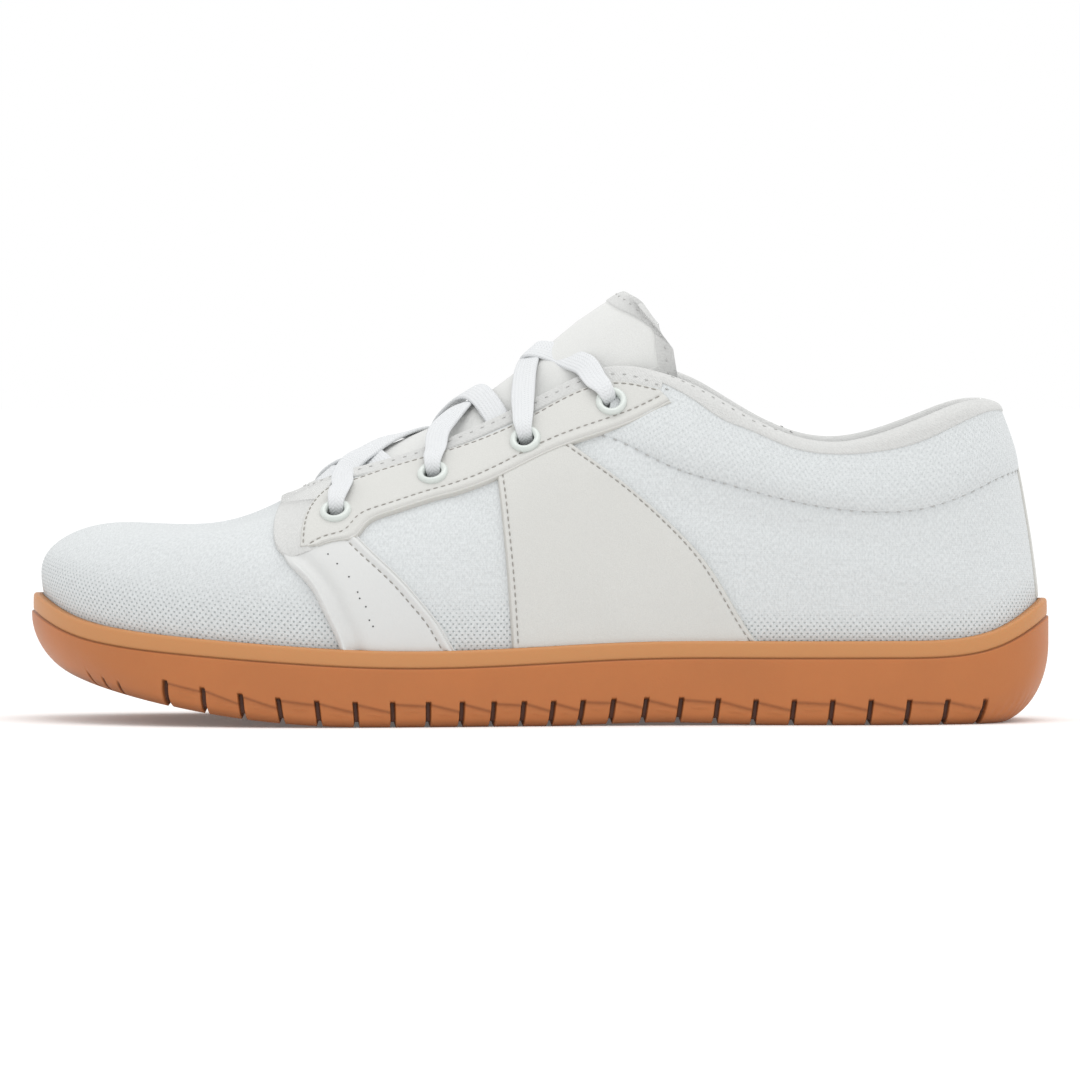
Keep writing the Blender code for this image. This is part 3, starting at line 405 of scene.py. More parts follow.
def curvatures(knots, values, period):
    """Second derivatives at the knots of the cubic spline through the values."""
    count = len(knots)
    matrix = np.eye(count)
    right = np.zeros_like(values)
    gaps = np.diff(np.append(knots, knots[0] + period))
    slopes = (np.roll(values, -1, 0) - values) / gaps[:, None]
    for i in range(count):
        if not period and i in (0, count - 1):
            continue
        matrix[i, i] = 2 * (gaps[i - 1] + gaps[i])
        matrix[i, i - 1] = gaps[i - 1]
        matrix[i, (i + 1) % count] = gaps[i]
        right[i] = 6 * (slopes[i] - slopes[i - 1])
    return np.linalg.solve(matrix, right)


KNOWN_BENDS = {}


def spline(knots, values, at, period=0.0):
    """A smooth curve through the values at the knots, closed where it has a period."""
    knots = np.asarray(knots, dtype=float)
    values = np.asarray(values, dtype=float)
    flat = values.reshape(len(knots), -1)
    key = (knots.tobytes(), flat.tobytes(), period)
    if key not in KNOWN_BENDS:
        KNOWN_BENDS[key] = curvatures(knots, flat, period)
    bend = KNOWN_BENDS[key]
    place = np.asarray(at, dtype=float)
    if period:
        place = knots[0] + np.mod(place - knots[0], period)
        knots = np.append(knots, knots[0] + period)
        flat = np.vstack([flat, flat[:1]])
        bend = np.vstack([bend, bend[:1]])
    left = np.clip(np.searchsorted(knots, place, side="right") - 1, 0, len(knots) - 2)
    gap = (knots[left + 1] - knots[left])[..., None]
    after = ((place - knots[left])[..., None]) / gap
    before = 1 - after
    curve = before * flat[left] + after * flat[left + 1]
    curve += ((before ** 3 - before) * bend[left] + (after ** 3 - after) * bend[left + 1]) * gap ** 2 / 6
    return curve.reshape(place.shape + values.shape[1:])


def unit(vectors):
    """Vectors of length one."""
    vectors = np.asarray(vectors, dtype=float)
    return vectors / np.linalg.norm(vectors, axis=-1, keepdims=True)


def run_lengths(points):
    """Length along a row of points, from 0."""
    steps = np.linalg.norm(np.diff(points, axis=0), axis=-1)
    return np.concatenate([np.zeros_like(steps[:1]), np.cumsum(steps, axis=0)])


def smooth_step(low, high, value):
    """0 below low, 1 above high, and an even curve between."""
    share = np.clip((value - low) / (high - low), 0, 1)
    return share * share * (3 - 2 * share)


def rounded(distance, radius):
    """Height share of a rounded edge: 0 at the edge and 1 from a radius inwards."""
    share = np.clip(distance / radius, 0, 1)
    return np.sqrt(1 - (1 - share) ** 2)


def even_cosine(count):
    """Shares from 0 to 1 that stand close at both ends."""
    return 0.5 - 0.5 * np.cos(np.linspace(0, math.pi, count))


def bell(value, middle, width):
    """1 at the middle, falling evenly to both sides."""
    return np.exp(-((value - middle) / width) ** 2)


def paired(station, rise):
    """Two arrays of one shape."""
    return np.broadcast_arrays(np.asarray(station, float), np.asarray(rise, float))


def side_by_side(*columns):
    """Arrays as the columns of one."""
    return np.stack(columns, axis=-1)


def columns_at(at, knots, values):
    """Each column of the values, between their knots."""
    return np.stack([np.interp(at, knots, column) for column in np.transpose(values)], axis=-1)


def round_loop(lateral, medial):
    """Values round the shoe: up the outer side, and back down the inner side."""
    return np.concatenate([lateral, medial[-2:0:-1]])


def outline_stations():
    """Station of each row of OUTLINE, by the mean length along the outer and inner sides."""
    x = OUTLINE["along"] * SHOE_LENGTH
    steps = 0.0
    for side in ("lateral", "medial"):
        steps = steps + np.hypot(np.diff(x), np.diff(OUTLINE[side] * BALL_WIDTH))
    length = np.append(0.0, np.cumsum(steps))
    return length / length[-1]


ROW_STATIONS = outline_stations()
LOOP_STATIONS = round_loop(ROW_STATIONS, 2 - ROW_STATIONS)
OUTLINE_LOOP = side_by_side(
    round_loop(OUTLINE["along"], OUTLINE["along"]) * SHOE_LENGTH,
    round_loop(OUTLINE["lateral"], -OUTLINE["medial"]) * BALL_WIDTH,
)


def station_of(along):
    """Station on the outer side at a share of the sole's length."""
    return np.interp(along, OUTLINE["along"], ROW_STATIONS)


UPPER_STATIONS = station_of(UPPER["along"])
UPPER_LOOP_STATIONS = round_loop(UPPER_STATIONS, 2 - UPPER_STATIONS)


def upper_loop():
    """Opening's edge, wall shares and belly round the shoe, a row for each section."""
    loops = {name: round_loop(column, column) for name, column in UPPER.items()}
    side = round_loop(UPPER["edge_lateral"], -UPPER["edge_medial"]) * BALL_WIDTH
    height = loops["edge_height"] * QUARTER_HEIGHT
    height += INNER_RISE * np.sin(np.pi * np.clip(UPPER_LOOP_STATIONS - 1, 0, 1)) ** 2
    shares = [loops[name] for name in ("in1", "in2", "in3", "up1", "up2", "up3")]
    edge = (loops["edge_along"] * SHOE_LENGTH, side, height)
    return side_by_side(*edge, *shares, loops["belly"] * BALL_WIDTH)


UPPER_LOOP = upper_loop()
WALL_KNOTS = np.linspace(0.0, 1.0, 5)


def outline(station):
    """Plan point of the sole's widest outline, and the outward direction there."""
    small = 1e-4
    point = spline(LOOP_STATIONS, OUTLINE_LOOP, station, 2.0)
    ahead = spline(LOOP_STATIONS, OUTLINE_LOOP, np.asarray(station) + small, 2.0)
    behind = spline(LOOP_STATIONS, OUTLINE_LOOP, np.asarray(station) - small, 2.0)
    run = unit(ahead - behind)
    return point, side_by_side(-run[..., 1], run[..., 0])


def plan_middle():
    """Middle of the sole's outline, which is the origin."""
    point, _ = outline(np.linspace(0.0, 2.0, 2001))
    return (point.min(axis=0) + point.max(axis=0)) / 2


MIDDLE = plan_middle()


def x_at(along):
    """Place in the finished frame of a share of the length."""
    return along * SHOE_LENGTH - MIDDLE[0]


def tread_height(x):
    """Height of the sole's underside: flat, lifted a little at the arch, sprung at the toe."""
    along = x / SHOE_LENGTH
    spring = np.clip((along - SPRING_START) / (1 - SPRING_START), 0, None) ** 2
    arch = np.clip((along - ARCH_START) / (ARCH_END - ARCH_START), 0, 1)
    return TOE_SPRING * spring + ARCH_LIFT * np.sin(np.pi * arch) ** 2


def rim_height(station):
    """Height of the sole's rim above the floor."""
    along = outline(station)[0][..., 0] / SHOE_LENGTH
    return RIM_HEIGHT * spline(RIM["along"], RIM["height"], np.clip(along, 0, 1))


def edge_round(station):
    """How far the lower edge is drawn in, and how high its rounding reaches."""
    point, outward = outline(station)
    heel = np.clip(-outward[..., 0], 0, 1) ** 2
    toe = np.clip(outward[..., 0], 0, 1) ** 2
    inset, reach = (
        side + (back - side) * heel + (front - side) * toe
        for side, back, front in zip(SIDE_ROUND, HEEL_ROUND, TOE_ROUND)
    )
    highest = 0.95 * (rim_height(station) - BAND_DROP - tread_height(point[..., 0]))
    return inset, np.minimum(reach, highest)


def wall_inset(station, over_tread):
    """How far the sole's outer wall stands in from the outline, at a height above the tread."""
    inset, reach = edge_round(station)
    share = np.clip(1 - over_tread / reach, 0, 1)
    return inset * (1 - np.sqrt(1 - share ** 2))


def plan_point(station, inset, height):
    """A point of the shoe at an inset from the sole's outline, in the finished frame."""
    point, outward = outline(station)
    plan = point - outward * np.asarray(inset)[..., None] - MIDDLE
    height = np.broadcast_to(height, plan.shape[:-1])
    return np.concatenate([plan, height[..., None]], axis=-1)


def x_of(station, inset):
    """Distance from the heel end of a point at an inset from the outline."""
    point, outward = outline(station)
    return point[..., 0] - outward[..., 0] * inset


def cup_inset(station, over_tread):
    """Inset of the cup's inner wall."""
    return wall_inset(station, over_tread) + BAND_STEP + RIM_WALL


def upper_wall(station, rise):
    """Outer face of the upper, from the cup's floor (rise -1) past the rim (0) to the opening (1)."""
    station, rise = paired(station, rise)
    row = spline(UPPER_LOOP_STATIONS, UPPER_LOOP, station, 2.0)
    _, outward = outline(station)
    inset = BAND_STEP + RIM_WALL + CLEARANCE
    x = x_of(station, inset)
    rim = rim_height(station)
    foot = plan_point(station, np.full_like(rim, inset), rim)
    basis = spline(WALL_KNOTS, np.eye(5), np.clip(rise, 0, 1))
    drawn = np.sum(basis[..., 1:4] * row[..., 3:6], axis=-1) + basis[..., 4]
    risen = np.sum(basis[..., 1:4] * row[..., 6:9], axis=-1) + basis[..., 4]
    edge = row[..., :2] - MIDDLE
    plan = foot[..., :2] + (edge - foot[..., :2]) * drawn[..., None]
    plan = plan + outward * (row[..., 9] * np.sin(np.pi * np.clip(rise, 0, 1)))[..., None]
    height = rim + (row[..., 2] - rim) * risen
    above = np.concatenate([plan, height[..., None]], axis=-1)
    floor = tread_height(x) + SOLE_THICKNESS + CLEARANCE
    low = rim + (rim - floor) * np.clip(rise, -1, 0)
    low_inset = cup_inset(station, low - tread_height(x)) + CLEARANCE
    below = plan_point(station, low_inset, low)
    return np.where((rise < 0)[..., None], below, above)


def square_to(surface, first, second):
    """Outward direction of a surface of two places, from small steps of both."""
    first_run = surface(first + SMALL_STEP, second) - surface(first - SMALL_STEP, second)
    second_run = surface(first, second + SMALL_STEP) - surface(first, second - SMALL_STEP)
    return unit(np.cross(second_run, first_run))


def upper_normal(station, rise):
    """Outward direction of the upper's outer face above the rim."""
    station, rise = paired(station, rise)
    return square_to(upper_wall, station, np.clip(rise, SMALL_STEP, 1 - SMALL_STEP))


def wall_thickness(station, rise):
    """Wall of the upper, padded towards the collar's edge."""
    half = np.minimum(np.mod(station, 2), 2 - np.mod(station, 2))
    collar = 1 - smooth_step(station_of(COLLAR_END[0]), station_of(COLLAR_END[1]), half)
    return UPPER_WALL + COLLAR_PAD * collar * smooth_step(*PAD_RISE, rise)


def crease_lift(points):
    """How far the knit's soft swells and hollows move its face outwards."""
    lift = np.zeros(points.shape[:-1])
    for row in table_rows(CREASES):
        dx = points[..., 0] - x_at(row["along"])
        dz = points[..., 2] - row["height"] * QUARTER_HEIGHT
        turn = math.radians(row["angle"])
        run = (dx * math.cos(turn) + dz * math.sin(turn)) / (row["length"] * MM / 2)
        off = (dz * math.cos(turn) - dx * math.sin(turn)) / (row["width"] * MM / 2)
        lift += row["depth"] * MM * np.exp(-run ** 2 - off ** 2)
    return lift


def skin(station, rise, lift=0.0):
    """Point and outward direction over the knit's creased outer face."""
    point = upper_wall(station, rise)
    normal = upper_normal(station, rise)
    edge_fade = smooth_step(0.0, 0.08, rise) * (1 - smooth_step(0.90, 0.98, rise))
    total = np.asarray(lift) + crease_lift(point) * edge_fade
    return point + normal * np.asarray(total)[..., None], normal


def lining_point(along, rise, side):
    """A point just inside the upper's lining, on the outer side (+1) or the inner side (-1)."""
    half = station_of(along)
    station = half if side > 0 else 2 - half
    depth = wall_thickness(station, rise) + LINING_GAP
    return upper_wall(station, min(rise, 1.0)) - upper_normal(station, min(rise, 1.0)) * depth


def tongue_rows():
    """Five points across the tongue's outer face for each row, from the front to the tip."""
    rows = []
    middle = TONGUE_SHIFT - MIDDLE[1]
    for row in table_rows(TONGUE_THROAT):
        wing, edge = (
            [lining_point(row[name + "_along"], row[name + "_rise"], side) for side in (-1, 1)]
            for name in ("wing", "edge")
        )
        crown = np.array((x_at(row["crown_along"]), middle, row["crown_height"] * TONGUE_HEIGHT))
        rows.append([wing[0], edge[0], crown, edge[1], wing[1]])
    for row in table_rows(TONGUE_FREE):
        points = []
        for name, side in (("wing", -1), ("edge", -1), ("crown", 0), ("edge", 1), ("wing", 1)):
            across = side * row[name + "_side"] * BALL_WIDTH if side else 0.0
            height = row[name + "_height"] * TONGUE_HEIGHT
            points.append(np.array((x_at(row[name + "_along"]), across + middle, height)))
        rows.append(points)
    return np.array(rows)


TONGUE_ROWS = tongue_rows()
TONGUE_KNOTS = np.arange(len(TONGUE_ROWS))
TONGUE_END = float(TONGUE_KNOTS[-1])
ACROSS_KNOTS = np.array([-1.0, -0.6, 0.0, 0.6, 1.0])


def tongue_face(row, across):
    """Outer face of the tongue: row counts from the front, across runs from inner to outer side."""
    row, across = paired(row, across)
    lines = spline(TONGUE_KNOTS, TONGUE_ROWS, row)
    basis = spline(ACROSS_KNOTS, np.eye(5), across)
    return np.sum(basis[..., None] * lines, axis=-2)


def tongue_normal(row, across):
    """Outward direction of the tongue's outer face."""
    row = np.clip(row, SMALL_STEP, TONGUE_END - SMALL_STEP)
    return square_to(tongue_face, row, np.clip(across, SMALL_STEP - 1, 1 - SMALL_STEP))


def tongue_row_at(along):
    """Row of the tongue whose crown stands at a share of the length."""
    crowns = np.concatenate([TONGUE_THROAT["crown_along"], TONGUE_FREE["crown_along"]])
    return np.interp(-along, -crowns, TONGUE_KNOTS)


class SideView:
    """Finds where the upper passes places of the side view."""

    def __init__(self):
        self.half, self.rise = (grid.ravel() for grid in np.meshgrid(
            np.linspace(0.0, 1.0, 161), np.linspace(0.0, 1.0, 61)))
        self.start = {side: upper_wall(self.station(self.half, side), self.rise) for side in (1, -1)}

    def station(self, half, side):
        """Station round the shoe of a half turn on one side."""
        return half if side > 0 else 2 - half

    def place(self, along, height, side):
        """Stations and rises of places given as shares of the length and of the quarter height."""
        goal = side_by_side(x_at(along), height * QUARTER_HEIGHT)
        start = self.start[side][:, ::2]
        nearest = np.argmin(((goal[:, None] - start[None]) ** 2).sum(-1), axis=1)
        half, rise = self.half[nearest].copy(), self.rise[nearest].copy()
        small = 1e-4
        for _ in range(8):
            here, more_half, more_rise = (
                upper_wall(self.station(h, side), r)[:, ::2]
                for h, r in ((half, rise), (half + small, rise), (half, rise + small))
            )
            a, b = ((more_half - here) / small).T
            c, d = ((more_rise - here) / small).T
            miss = goal - here
            size = a * d - b * c
            size = np.where(np.abs(size) < 1e-6, np.inf, size)
            half_step = (miss[:, 0] * d - miss[:, 1] * c) / size
            rise_step = (miss[:, 1] * a - miss[:, 0] * b) / size
            half = np.clip(half + np.clip(half_step, -0.02, 0.02), 0.0, 1.0)
            rise = np.clip(rise + np.clip(rise_step, -0.03, 0.03), 0.0, 0.995)
        return side_by_side(self.station(half, side), rise)

    def curve(self, places, side, count):
        """Stations and rises of evenly spaced points along an edge."""
        line = side_by_side(places["along"] * SHOE_LENGTH, places["height"] * QUARTER_HEIGHT)
        length = run_lengths(line)
        smooth = spline(length, line, np.linspace(0.0, length[-1], count))
        return self.place(smooth[:, 0] / SHOE_LENGTH, smooth[:, 1] / QUARTER_HEIGHT, side)


VIEW = SideView()


def rise_below_edge(station, distance):
    """Rise of a point a distance below the opening's edge, measured along the wall."""
    rises = np.linspace(1.0, 0.3, 71)
    wall = upper_wall(station[None, :], rises[:, None])
    length = run_lengths(wall)
    distance = np.broadcast_to(distance, station.shape)
    return np.array([np.interp(distance[i], length[:, i], rises) for i in range(len(station))])


def rise_at_along(station, along):
    """Rise of the point of each station's wall that stands at a share of the length."""
    rises = np.linspace(0.2, 1.0, 81)
    x = upper_wall(station[None, :], rises[:, None])[..., 0]
    goal = x_at(along)
    return np.array([np.interp(-goal, -x[:, i], rises) for i in range(len(station))])


# Shader graphs

class Wire:
    """A shader socket that takes part in sums."""

    def __init__(self, graph, socket):
        self.graph = graph
        self.socket = socket

    def math(self, operation, *others):
        """A Math node on this socket and other sockets or numbers."""
        sockets = dict(enumerate([self, *others]))
        return self.graph.node("ShaderNodeMath", {"operation": operation}, sockets)

    def __add__(self, other):
        return self.math("ADD", other)

    __radd__ = __add__

    def __sub__(self, other):
        return self.math("SUBTRACT", other)

    def __rsub__(self, other):
        return self.graph.node("ShaderNodeMath", {"operation": "SUBTRACT"}, {0: other, 1: self})

    def __mul__(self, other):
        return self.math("MULTIPLY", other)

    __rmul__ = __mul__

    def __truediv__(self, other):
        return self.math("DIVIDE", other)

    def wave(self, length, shape="SINE"):
        """A wave of a length, from -1 to 1."""
        return (self * (2 * math.pi / length)).math(shape)

    def ripple(self, length, shape="SINE"):
        """A wave of a length, from 0 to 1."""
        return self.wave(length, shape) * 0.5 + 0.5

    def step(self, low, high):
        """0 below low, 1 above high, and an even curve between."""
        settings = {"interpolation_type": "SMOOTHSTEP"}
        sockets = {"Value": self, "From Min": low, "From Max": high}
        return self.graph.node("ShaderNodeMapRange", settings, sockets)


class Graph:
    """A material's node tree."""

    def __init__(self, name):
        self.material = bpy.data.materials.new(name)
        self.material.use_nodes = True
        self.tree = self.material.node_tree
        self.shader = self.tree.nodes["Principled BSDF"]
        self.place = self.coordinates("Object")

    def node(self, kind, settings=None, sockets=None, output=0):
        """A node with its settings, then its sockets; returns one of its outputs."""
        made = self.tree.nodes.new(kind)
        for key, value in (settings or {}).items():
            setattr(made, key, value)
        for key, value in (sockets or {}).items():
            self.feed(made.inputs[key], value)
        return Wire(self, made.outputs[output])

    def feed(self, socket, value):
        """Links a wire to a socket, or sets the socket's own value."""
        if isinstance(value, Wire):
            self.tree.links.new(value.socket, socket)
        elif isinstance(value, tuple) and len(value) == 3 and socket.type == "RGBA":
            socket.default_value = (*value, 1.0)
        else:
            socket.default_value = value

    def coordinates(self, source):
        """Object or UV coordinates."""
        return self.node("ShaderNodeTexCoord", output=source)

    def plane(self, vector):
        """The X and Y of a vector."""
        split = self.node("ShaderNodeSeparateXYZ", sockets={0: vector}).socket.node
        return [Wire(self, socket) for socket in split.outputs[:2]]

    def lengths(self):
        """Lengths along and across the piece, from its UVs."""
        return self.plane(self.coordinates("UV"))

    def attribute(self, name):
        """A number stored on the mesh."""
        return self.node("ShaderNodeAttribute", {"attribute_name": name}, output="Fac")

    def noise(self, scale, detail=3.0, roughness=0.55, vector=None):
        """Noise from 0 to 1, over the object's coordinates unless it is given others."""
        sockets = {"Vector": vector or self.place, "Scale": scale, "Detail": detail, "Roughness": roughness}
        return self.node("ShaderNodeTexNoise", sockets=sockets)

    def mix(self, factor, first, second):
        """A colour between two colours."""
        settings = {"data_type": "RGBA"}
        return self.node("ShaderNodeMix", settings, {0: factor, 6: first, 7: second}, output=2)

    def bump(self, height, distance):
        """Surface direction of a height given in shares of a distance."""
        sockets = {"Height": height, "Distance": distance, "Strength": 1.0}
        return self.node("ShaderNodeBump", sockets=sockets)

    def tones(self, factor, tone, share):
        """A colour from a share of a tone up to the tone itself."""
        return self.mix(factor, dimmed(tone, share), tone)

    def finish(self, colour, roughness, normal=None, **sockets):
        """Feeds the shader's sockets and returns the material."""
        self.feed(self.shader.inputs["Base Color"], colour)
        self.feed(self.shader.inputs["Roughness"], roughness)
        if normal is not None:
            self.feed(self.shader.inputs["Normal"], normal)
        for key, value in sockets.items():
            self.feed(self.shader.inputs[key.replace("_", " ")], value)
        return self.material


def dimmed(tone, share):
    """A tone times a share."""
    return tuple(share * part for part in tone)


def knit_pattern(u, v):
    """Holes and threads of the knit: staggered small holes between paired loops."""
    pitch = 1.72 * MM
    row_height = 1.02 * MM
    row = v / row_height
    row_index = row.math("FLOOR")
    shift = row_index.math("PINGPONG", 1.0) * 0.5
    cell_u = ((u / pitch + shift).math("FRACT") - 0.5) * (pitch / MM)
    cell_v = (row.math("FRACT") - 0.5) * (row_height / MM)
    distance = (cell_u * cell_u + cell_v * cell_v * 1.3).math("SQRT")
    hole = 1.0 - distance.step(0.16, 0.40)
    loop = (u * (2 * math.pi / (0.86 * MM)) + cell_v * 1.6).math("SINE") * 0.5 + 0.5
    rib = v.ripple(0.51 * MM)
    return hole, loop * 0.6 + rib * 0.4


def knit_material():
    """White engineered knit: mapped on the walls by real lengths, and from above on the vamp, with painted
    shade in its holes.
    """
    graph = Graph("white_knit")
    x, y = graph.plane(graph.place)
    u, v = graph.lengths()
    hole_side, thread_side = knit_pattern(u, v)
    hole_top, thread_top = knit_pattern(x, y)
    top = graph.attribute("vamp_top")
    hole = hole_side + (hole_top - hole_side) * top
    thread = thread_side + (thread_top - thread_side) * top
    show = graph.attribute("hole_show")
    wale = graph.node("ShaderNodeCombineXYZ", sockets={0: u * 1900.0, 1: v * 900.0, 2: 0.0})
    tone = graph.noise(1.0, 2.0, vector=wale) * 0.7 + graph.noise(900.0, 2.0) * 0.3
    # Painted shade in the knit's holes
    shade = hole * show * (0.62 + tone * 0.5)
    light = graph.tones(tone.step(0.32, 0.66), KNIT_WHITE, 0.86)
    colour = graph.mix(shade, light, KNIT_HOLE_SHADE)
    fuzz = graph.noise(2600.0, 2.0)
    height = thread * 0.35 - hole * (show * 0.8 + 0.15) + fuzz * 0.3 + tone * 0.9
    normal = graph.bump(height, 0.17 * MM)
    return graph.finish(colour, 0.92, normal, Sheen_Weight=0.15, Sheen_Roughness=0.5,
                        Specular_IOR_Level=0.25)


def lining_material():
    """Soft white inner textile with a fine square weave."""
    graph = Graph("lining_textile")
    u, v = graph.lengths()
    weave = u.wave(0.9 * MM) * v.wave(0.9 * MM)
    tone = graph.noise(60.0)
    colour = graph.tones(tone.step(0.2, 0.8), LINING_WHITE, 0.9)
    normal = graph.bump(weave * 0.5 + graph.noise(2400.0) * 0.6, 0.12 * MM)
    return graph.finish(colour, 0.95, normal, Specular_IOR_Level=0.2)


def suede_material(name, tone):
    """Off-white suede: fine nap, brushed patches and a slightly worn edge."""
    graph = Graph(name)
    patches = graph.noise(55.0, 4.0)
    nap = graph.noise(3200.0, roughness=0.7)
    edge = graph.attribute("edge_wear")
    low = graph.tones(patches.step(0.25, 0.75), tone, 0.955)
    speck = graph.mix(nap.step(0.30, 0.75), dimmed(tone, 0.90), low)
    colour = graph.mix(edge * 0.55, speck, (0.480, 0.470, 0.435))
    normal = graph.bump(nap * 0.8 + graph.noise(900.0) * 0.5, 0.09 * MM)
    return graph.finish(colour, 0.93, normal, Sheen_Weight=0.25, Sheen_Roughness=0.45,
                        Specular_IOR_Level=0.25)


def leather_material():
    """Smooth white leather with a faint pebble grain."""
    graph = Graph("white_leather")
    sockets = {"Vector": graph.place, "Scale": 1500.0}
    grain = graph.node("ShaderNodeTexVoronoi", {"feature": "SMOOTH_F1"}, sockets)
    tone = graph.noise(70.0)
    edge = graph.attribute("edge_wear")
    base = graph.tones(tone.step(0.2, 0.8), LEATHER_WHITE, 0.965)
    colour = graph.mix(edge * 0.15, base, (0.500, 0.500, 0.480))
    normal = graph.bump(grain * 0.6 + graph.noise(500.0) * 0.6, 0.05 * MM)
    return graph.finish(colour, tone * 0.12 + 0.50, normal, Specular_IOR_Level=0.35)


def band_material():
    """White fabric tape of the bindings: a fine broken twill."""
    graph = Graph("white_tape")
    u, v = graph.lengths()
    twill = (u + v).ripple(0.62 * MM)
    cross = (u - v).ripple(0.95 * MM)
    speck = graph.noise(1500.0, roughness=0.7)
    tone = graph.noise(65.0)
    base = graph.tones(tone.step(0.2, 0.8), BAND_WHITE, 0.95)
    colour = graph.mix(speck.step(0.35, 0.65) * 0.6, dimmed(BAND_WHITE, 0.86), base)
    normal = graph.bump(twill * 0.5 + cross * 0.3 + speck * 0.9, 0.13 * MM)
    return graph.finish(colour, 0.92, normal, Sheen_Weight=0.1, Specular_IOR_Level=0.25)


def lace_material():
    """Flat white lace with chevron loops along its length."""
    graph = Graph("white_lace")
    u, v = graph.lengths()
    fold = v.math("ABSOLUTE")
    chevron = (u + fold * 0.9).ripple(0.95 * MM)
    wale = v.ripple(1.0 * MM, "COSINE")
    fuzz = graph.noise(2400.0, 2.0)
    colour = graph.mix(chevron * 0.35 + fuzz * 0.3, LACE_WHITE, dimmed(LACE_WHITE, 0.88))
    normal = graph.bump(chevron * 0.5 + wale * 0.5 + fuzz * 0.3, 0.17 * MM)
    return graph.finish(colour, 0.85, normal, Sheen_Weight=0.1, Specular_IOR_Level=0.3)


def gum_material():
    """Gum rubber: lighter rim band, warmer wall, painted shade in the grooves and along the bottom edge,
    with a satin skin.
    """
    graph = Graph("gum_rubber")
    band = graph.attribute("rim_band")
    groove_shade = graph.attribute("groove_depth")
    cloud = graph.noise(38.0, 4.0)
    fine = graph.noise(1800.0, 2.0)
    wall = graph.mix(cloud.step(0.2, 0.8), dimmed(GUM_WALL, 0.95), dimmed(GUM_WALL, 1.04))
    base = graph.mix(band, wall, GUM_BAND)
    # Painted shade along the bottom edge
    shaded = graph.mix(graph.attribute("under_shade"), base, dimmed(GUM_WALL, 0.62))
    # Painted shade in the grooves, under the ledges and in the step below the band
    colour = graph.mix(groove_shade, shaded, GUM_GROOVE_SHADE)
    normal = graph.bump(fine * 0.6 + graph.noise(420.0) * 0.5, 0.05 * MM)
    return graph.finish(colour, cloud * 0.14 + 0.42, normal, Specular_IOR_Level=0.42,
                        Subsurface_Weight=0.06, Subsurface_Scale=0.004)


def insole_material():
    """Grey textile top of the footbed."""
    graph = Graph("insole_textile")
    x, y = graph.plane(graph.place)
    weave = x.wave(1.2 * MM) * y.wave(1.2 * MM)
    tone = graph.noise(80.0)
    colour = graph.tones(tone.step(0.2, 0.8), INSOLE_GREY, 0.86)
    normal = graph.bump(weave * 0.6 + graph.noise(2200.0) * 0.5, 0.15 * MM)
    return graph.finish(colour, 0.95, normal, Specular_IOR_Level=0.2)


def enamel_material():
    """Glossy pale enamel of the eyelets, with painted shade down the bore."""
    graph = Graph("pale_enamel")
    chips = graph.noise(700.0)
    bore = graph.attribute("bore_shade")
    base = graph.tones(chips.step(0.3, 0.8), ENAMEL_GREEN, 0.95)
    colour = graph.mix(bore, base, (0.10, 0.115, 0.105))
    normal = graph.bump(chips, 0.02 * MM)
    return graph.finish(colour, 0.22, normal, Coat_Weight=0.3, Coat_Roughness=0.08)


def thread_material(name, tone):
    """Twisted sewing thread."""
    graph = Graph(name)
    twist = graph.noise(1400.0, 2.0)
    colour = graph.tones(twist.step(0.3, 0.7), tone, 0.82)
    return graph.finish(colour, 0.75, graph.bump(twist, 0.05 * MM))


def hole_shade_material():
    """Painted shade in a punched hole and at an eyelet's floor."""
    graph = Graph("painted_hole_shade")
    tone = graph.noise(900.0, 1.0)
    colour = graph.mix(tone, HOLE_SHADE_TONE, dimmed(HOLE_SHADE_TONE, 2))
    return graph.finish(colour, 1.0, Specular_IOR_Level=0.0)


def floor_material():
    """Matte white floor that glows as painted light: full white far off, dimmer near the shoe and warmer
    there as a painted warm shadow.
    """
    graph = Graph("studio_floor")
    away = graph.node("ShaderNodeVectorMath", {"operation": "LENGTH"}, {0: graph.place}, output=1)
    # Painted light: the floor glows, less and warmer near the shoe
    glow = graph.mix(away.step(0.35, 1.4), (0.55, 0.52, 0.50), (1.0, 1.0, 1.0))
    return graph.finish((0.84, 0.84, 0.84), 1.0, Specular_IOR_Level=0.0,
                        Emission_Color=glow, Emission_Strength=0.20)


LOOKS = {
    "knit": knit_material(),
    "lining": lining_material(),
    "suede": suede_material("white_suede", SUEDE_WHITE),
    "tongue": suede_material("tongue_suede", TONGUE_WHITE),
    "leather": leather_material(),
    "tape": band_material(),
    "lace": lace_material(),
    "gum": gum_material(),
    "insole": insole_material(),
    "enamel": enamel_material(),
    # Grey thread whose tone also holds painted shade of the needle holes
    "thread": thread_material("grey_thread_and_shade", THREAD_GREY_AND_SHADE),
    "pale_thread": thread_material("white_thread", THREAD_WHITE),
    "hole_shade": hole_shade_material(),
}


# Meshes

def grid_faces(rows, columns, close_rows=False, close_columns=False):
    """Quads of a grid of points, closed round either way."""
    r = np.arange(rows if close_rows else rows - 1)[:, None]
    c = np.arange(columns if close_columns else columns - 1)[None, :]
    next_r = (r + 1) % rows
    next_c = (c + 1) % columns
    corners = [r * columns + c, r * columns + next_c, next_r * columns + next_c, next_r * columns + c]
    return np.stack([corner + 0 * (r + c) for corner in corners], axis=-1).reshape(-1, 4)


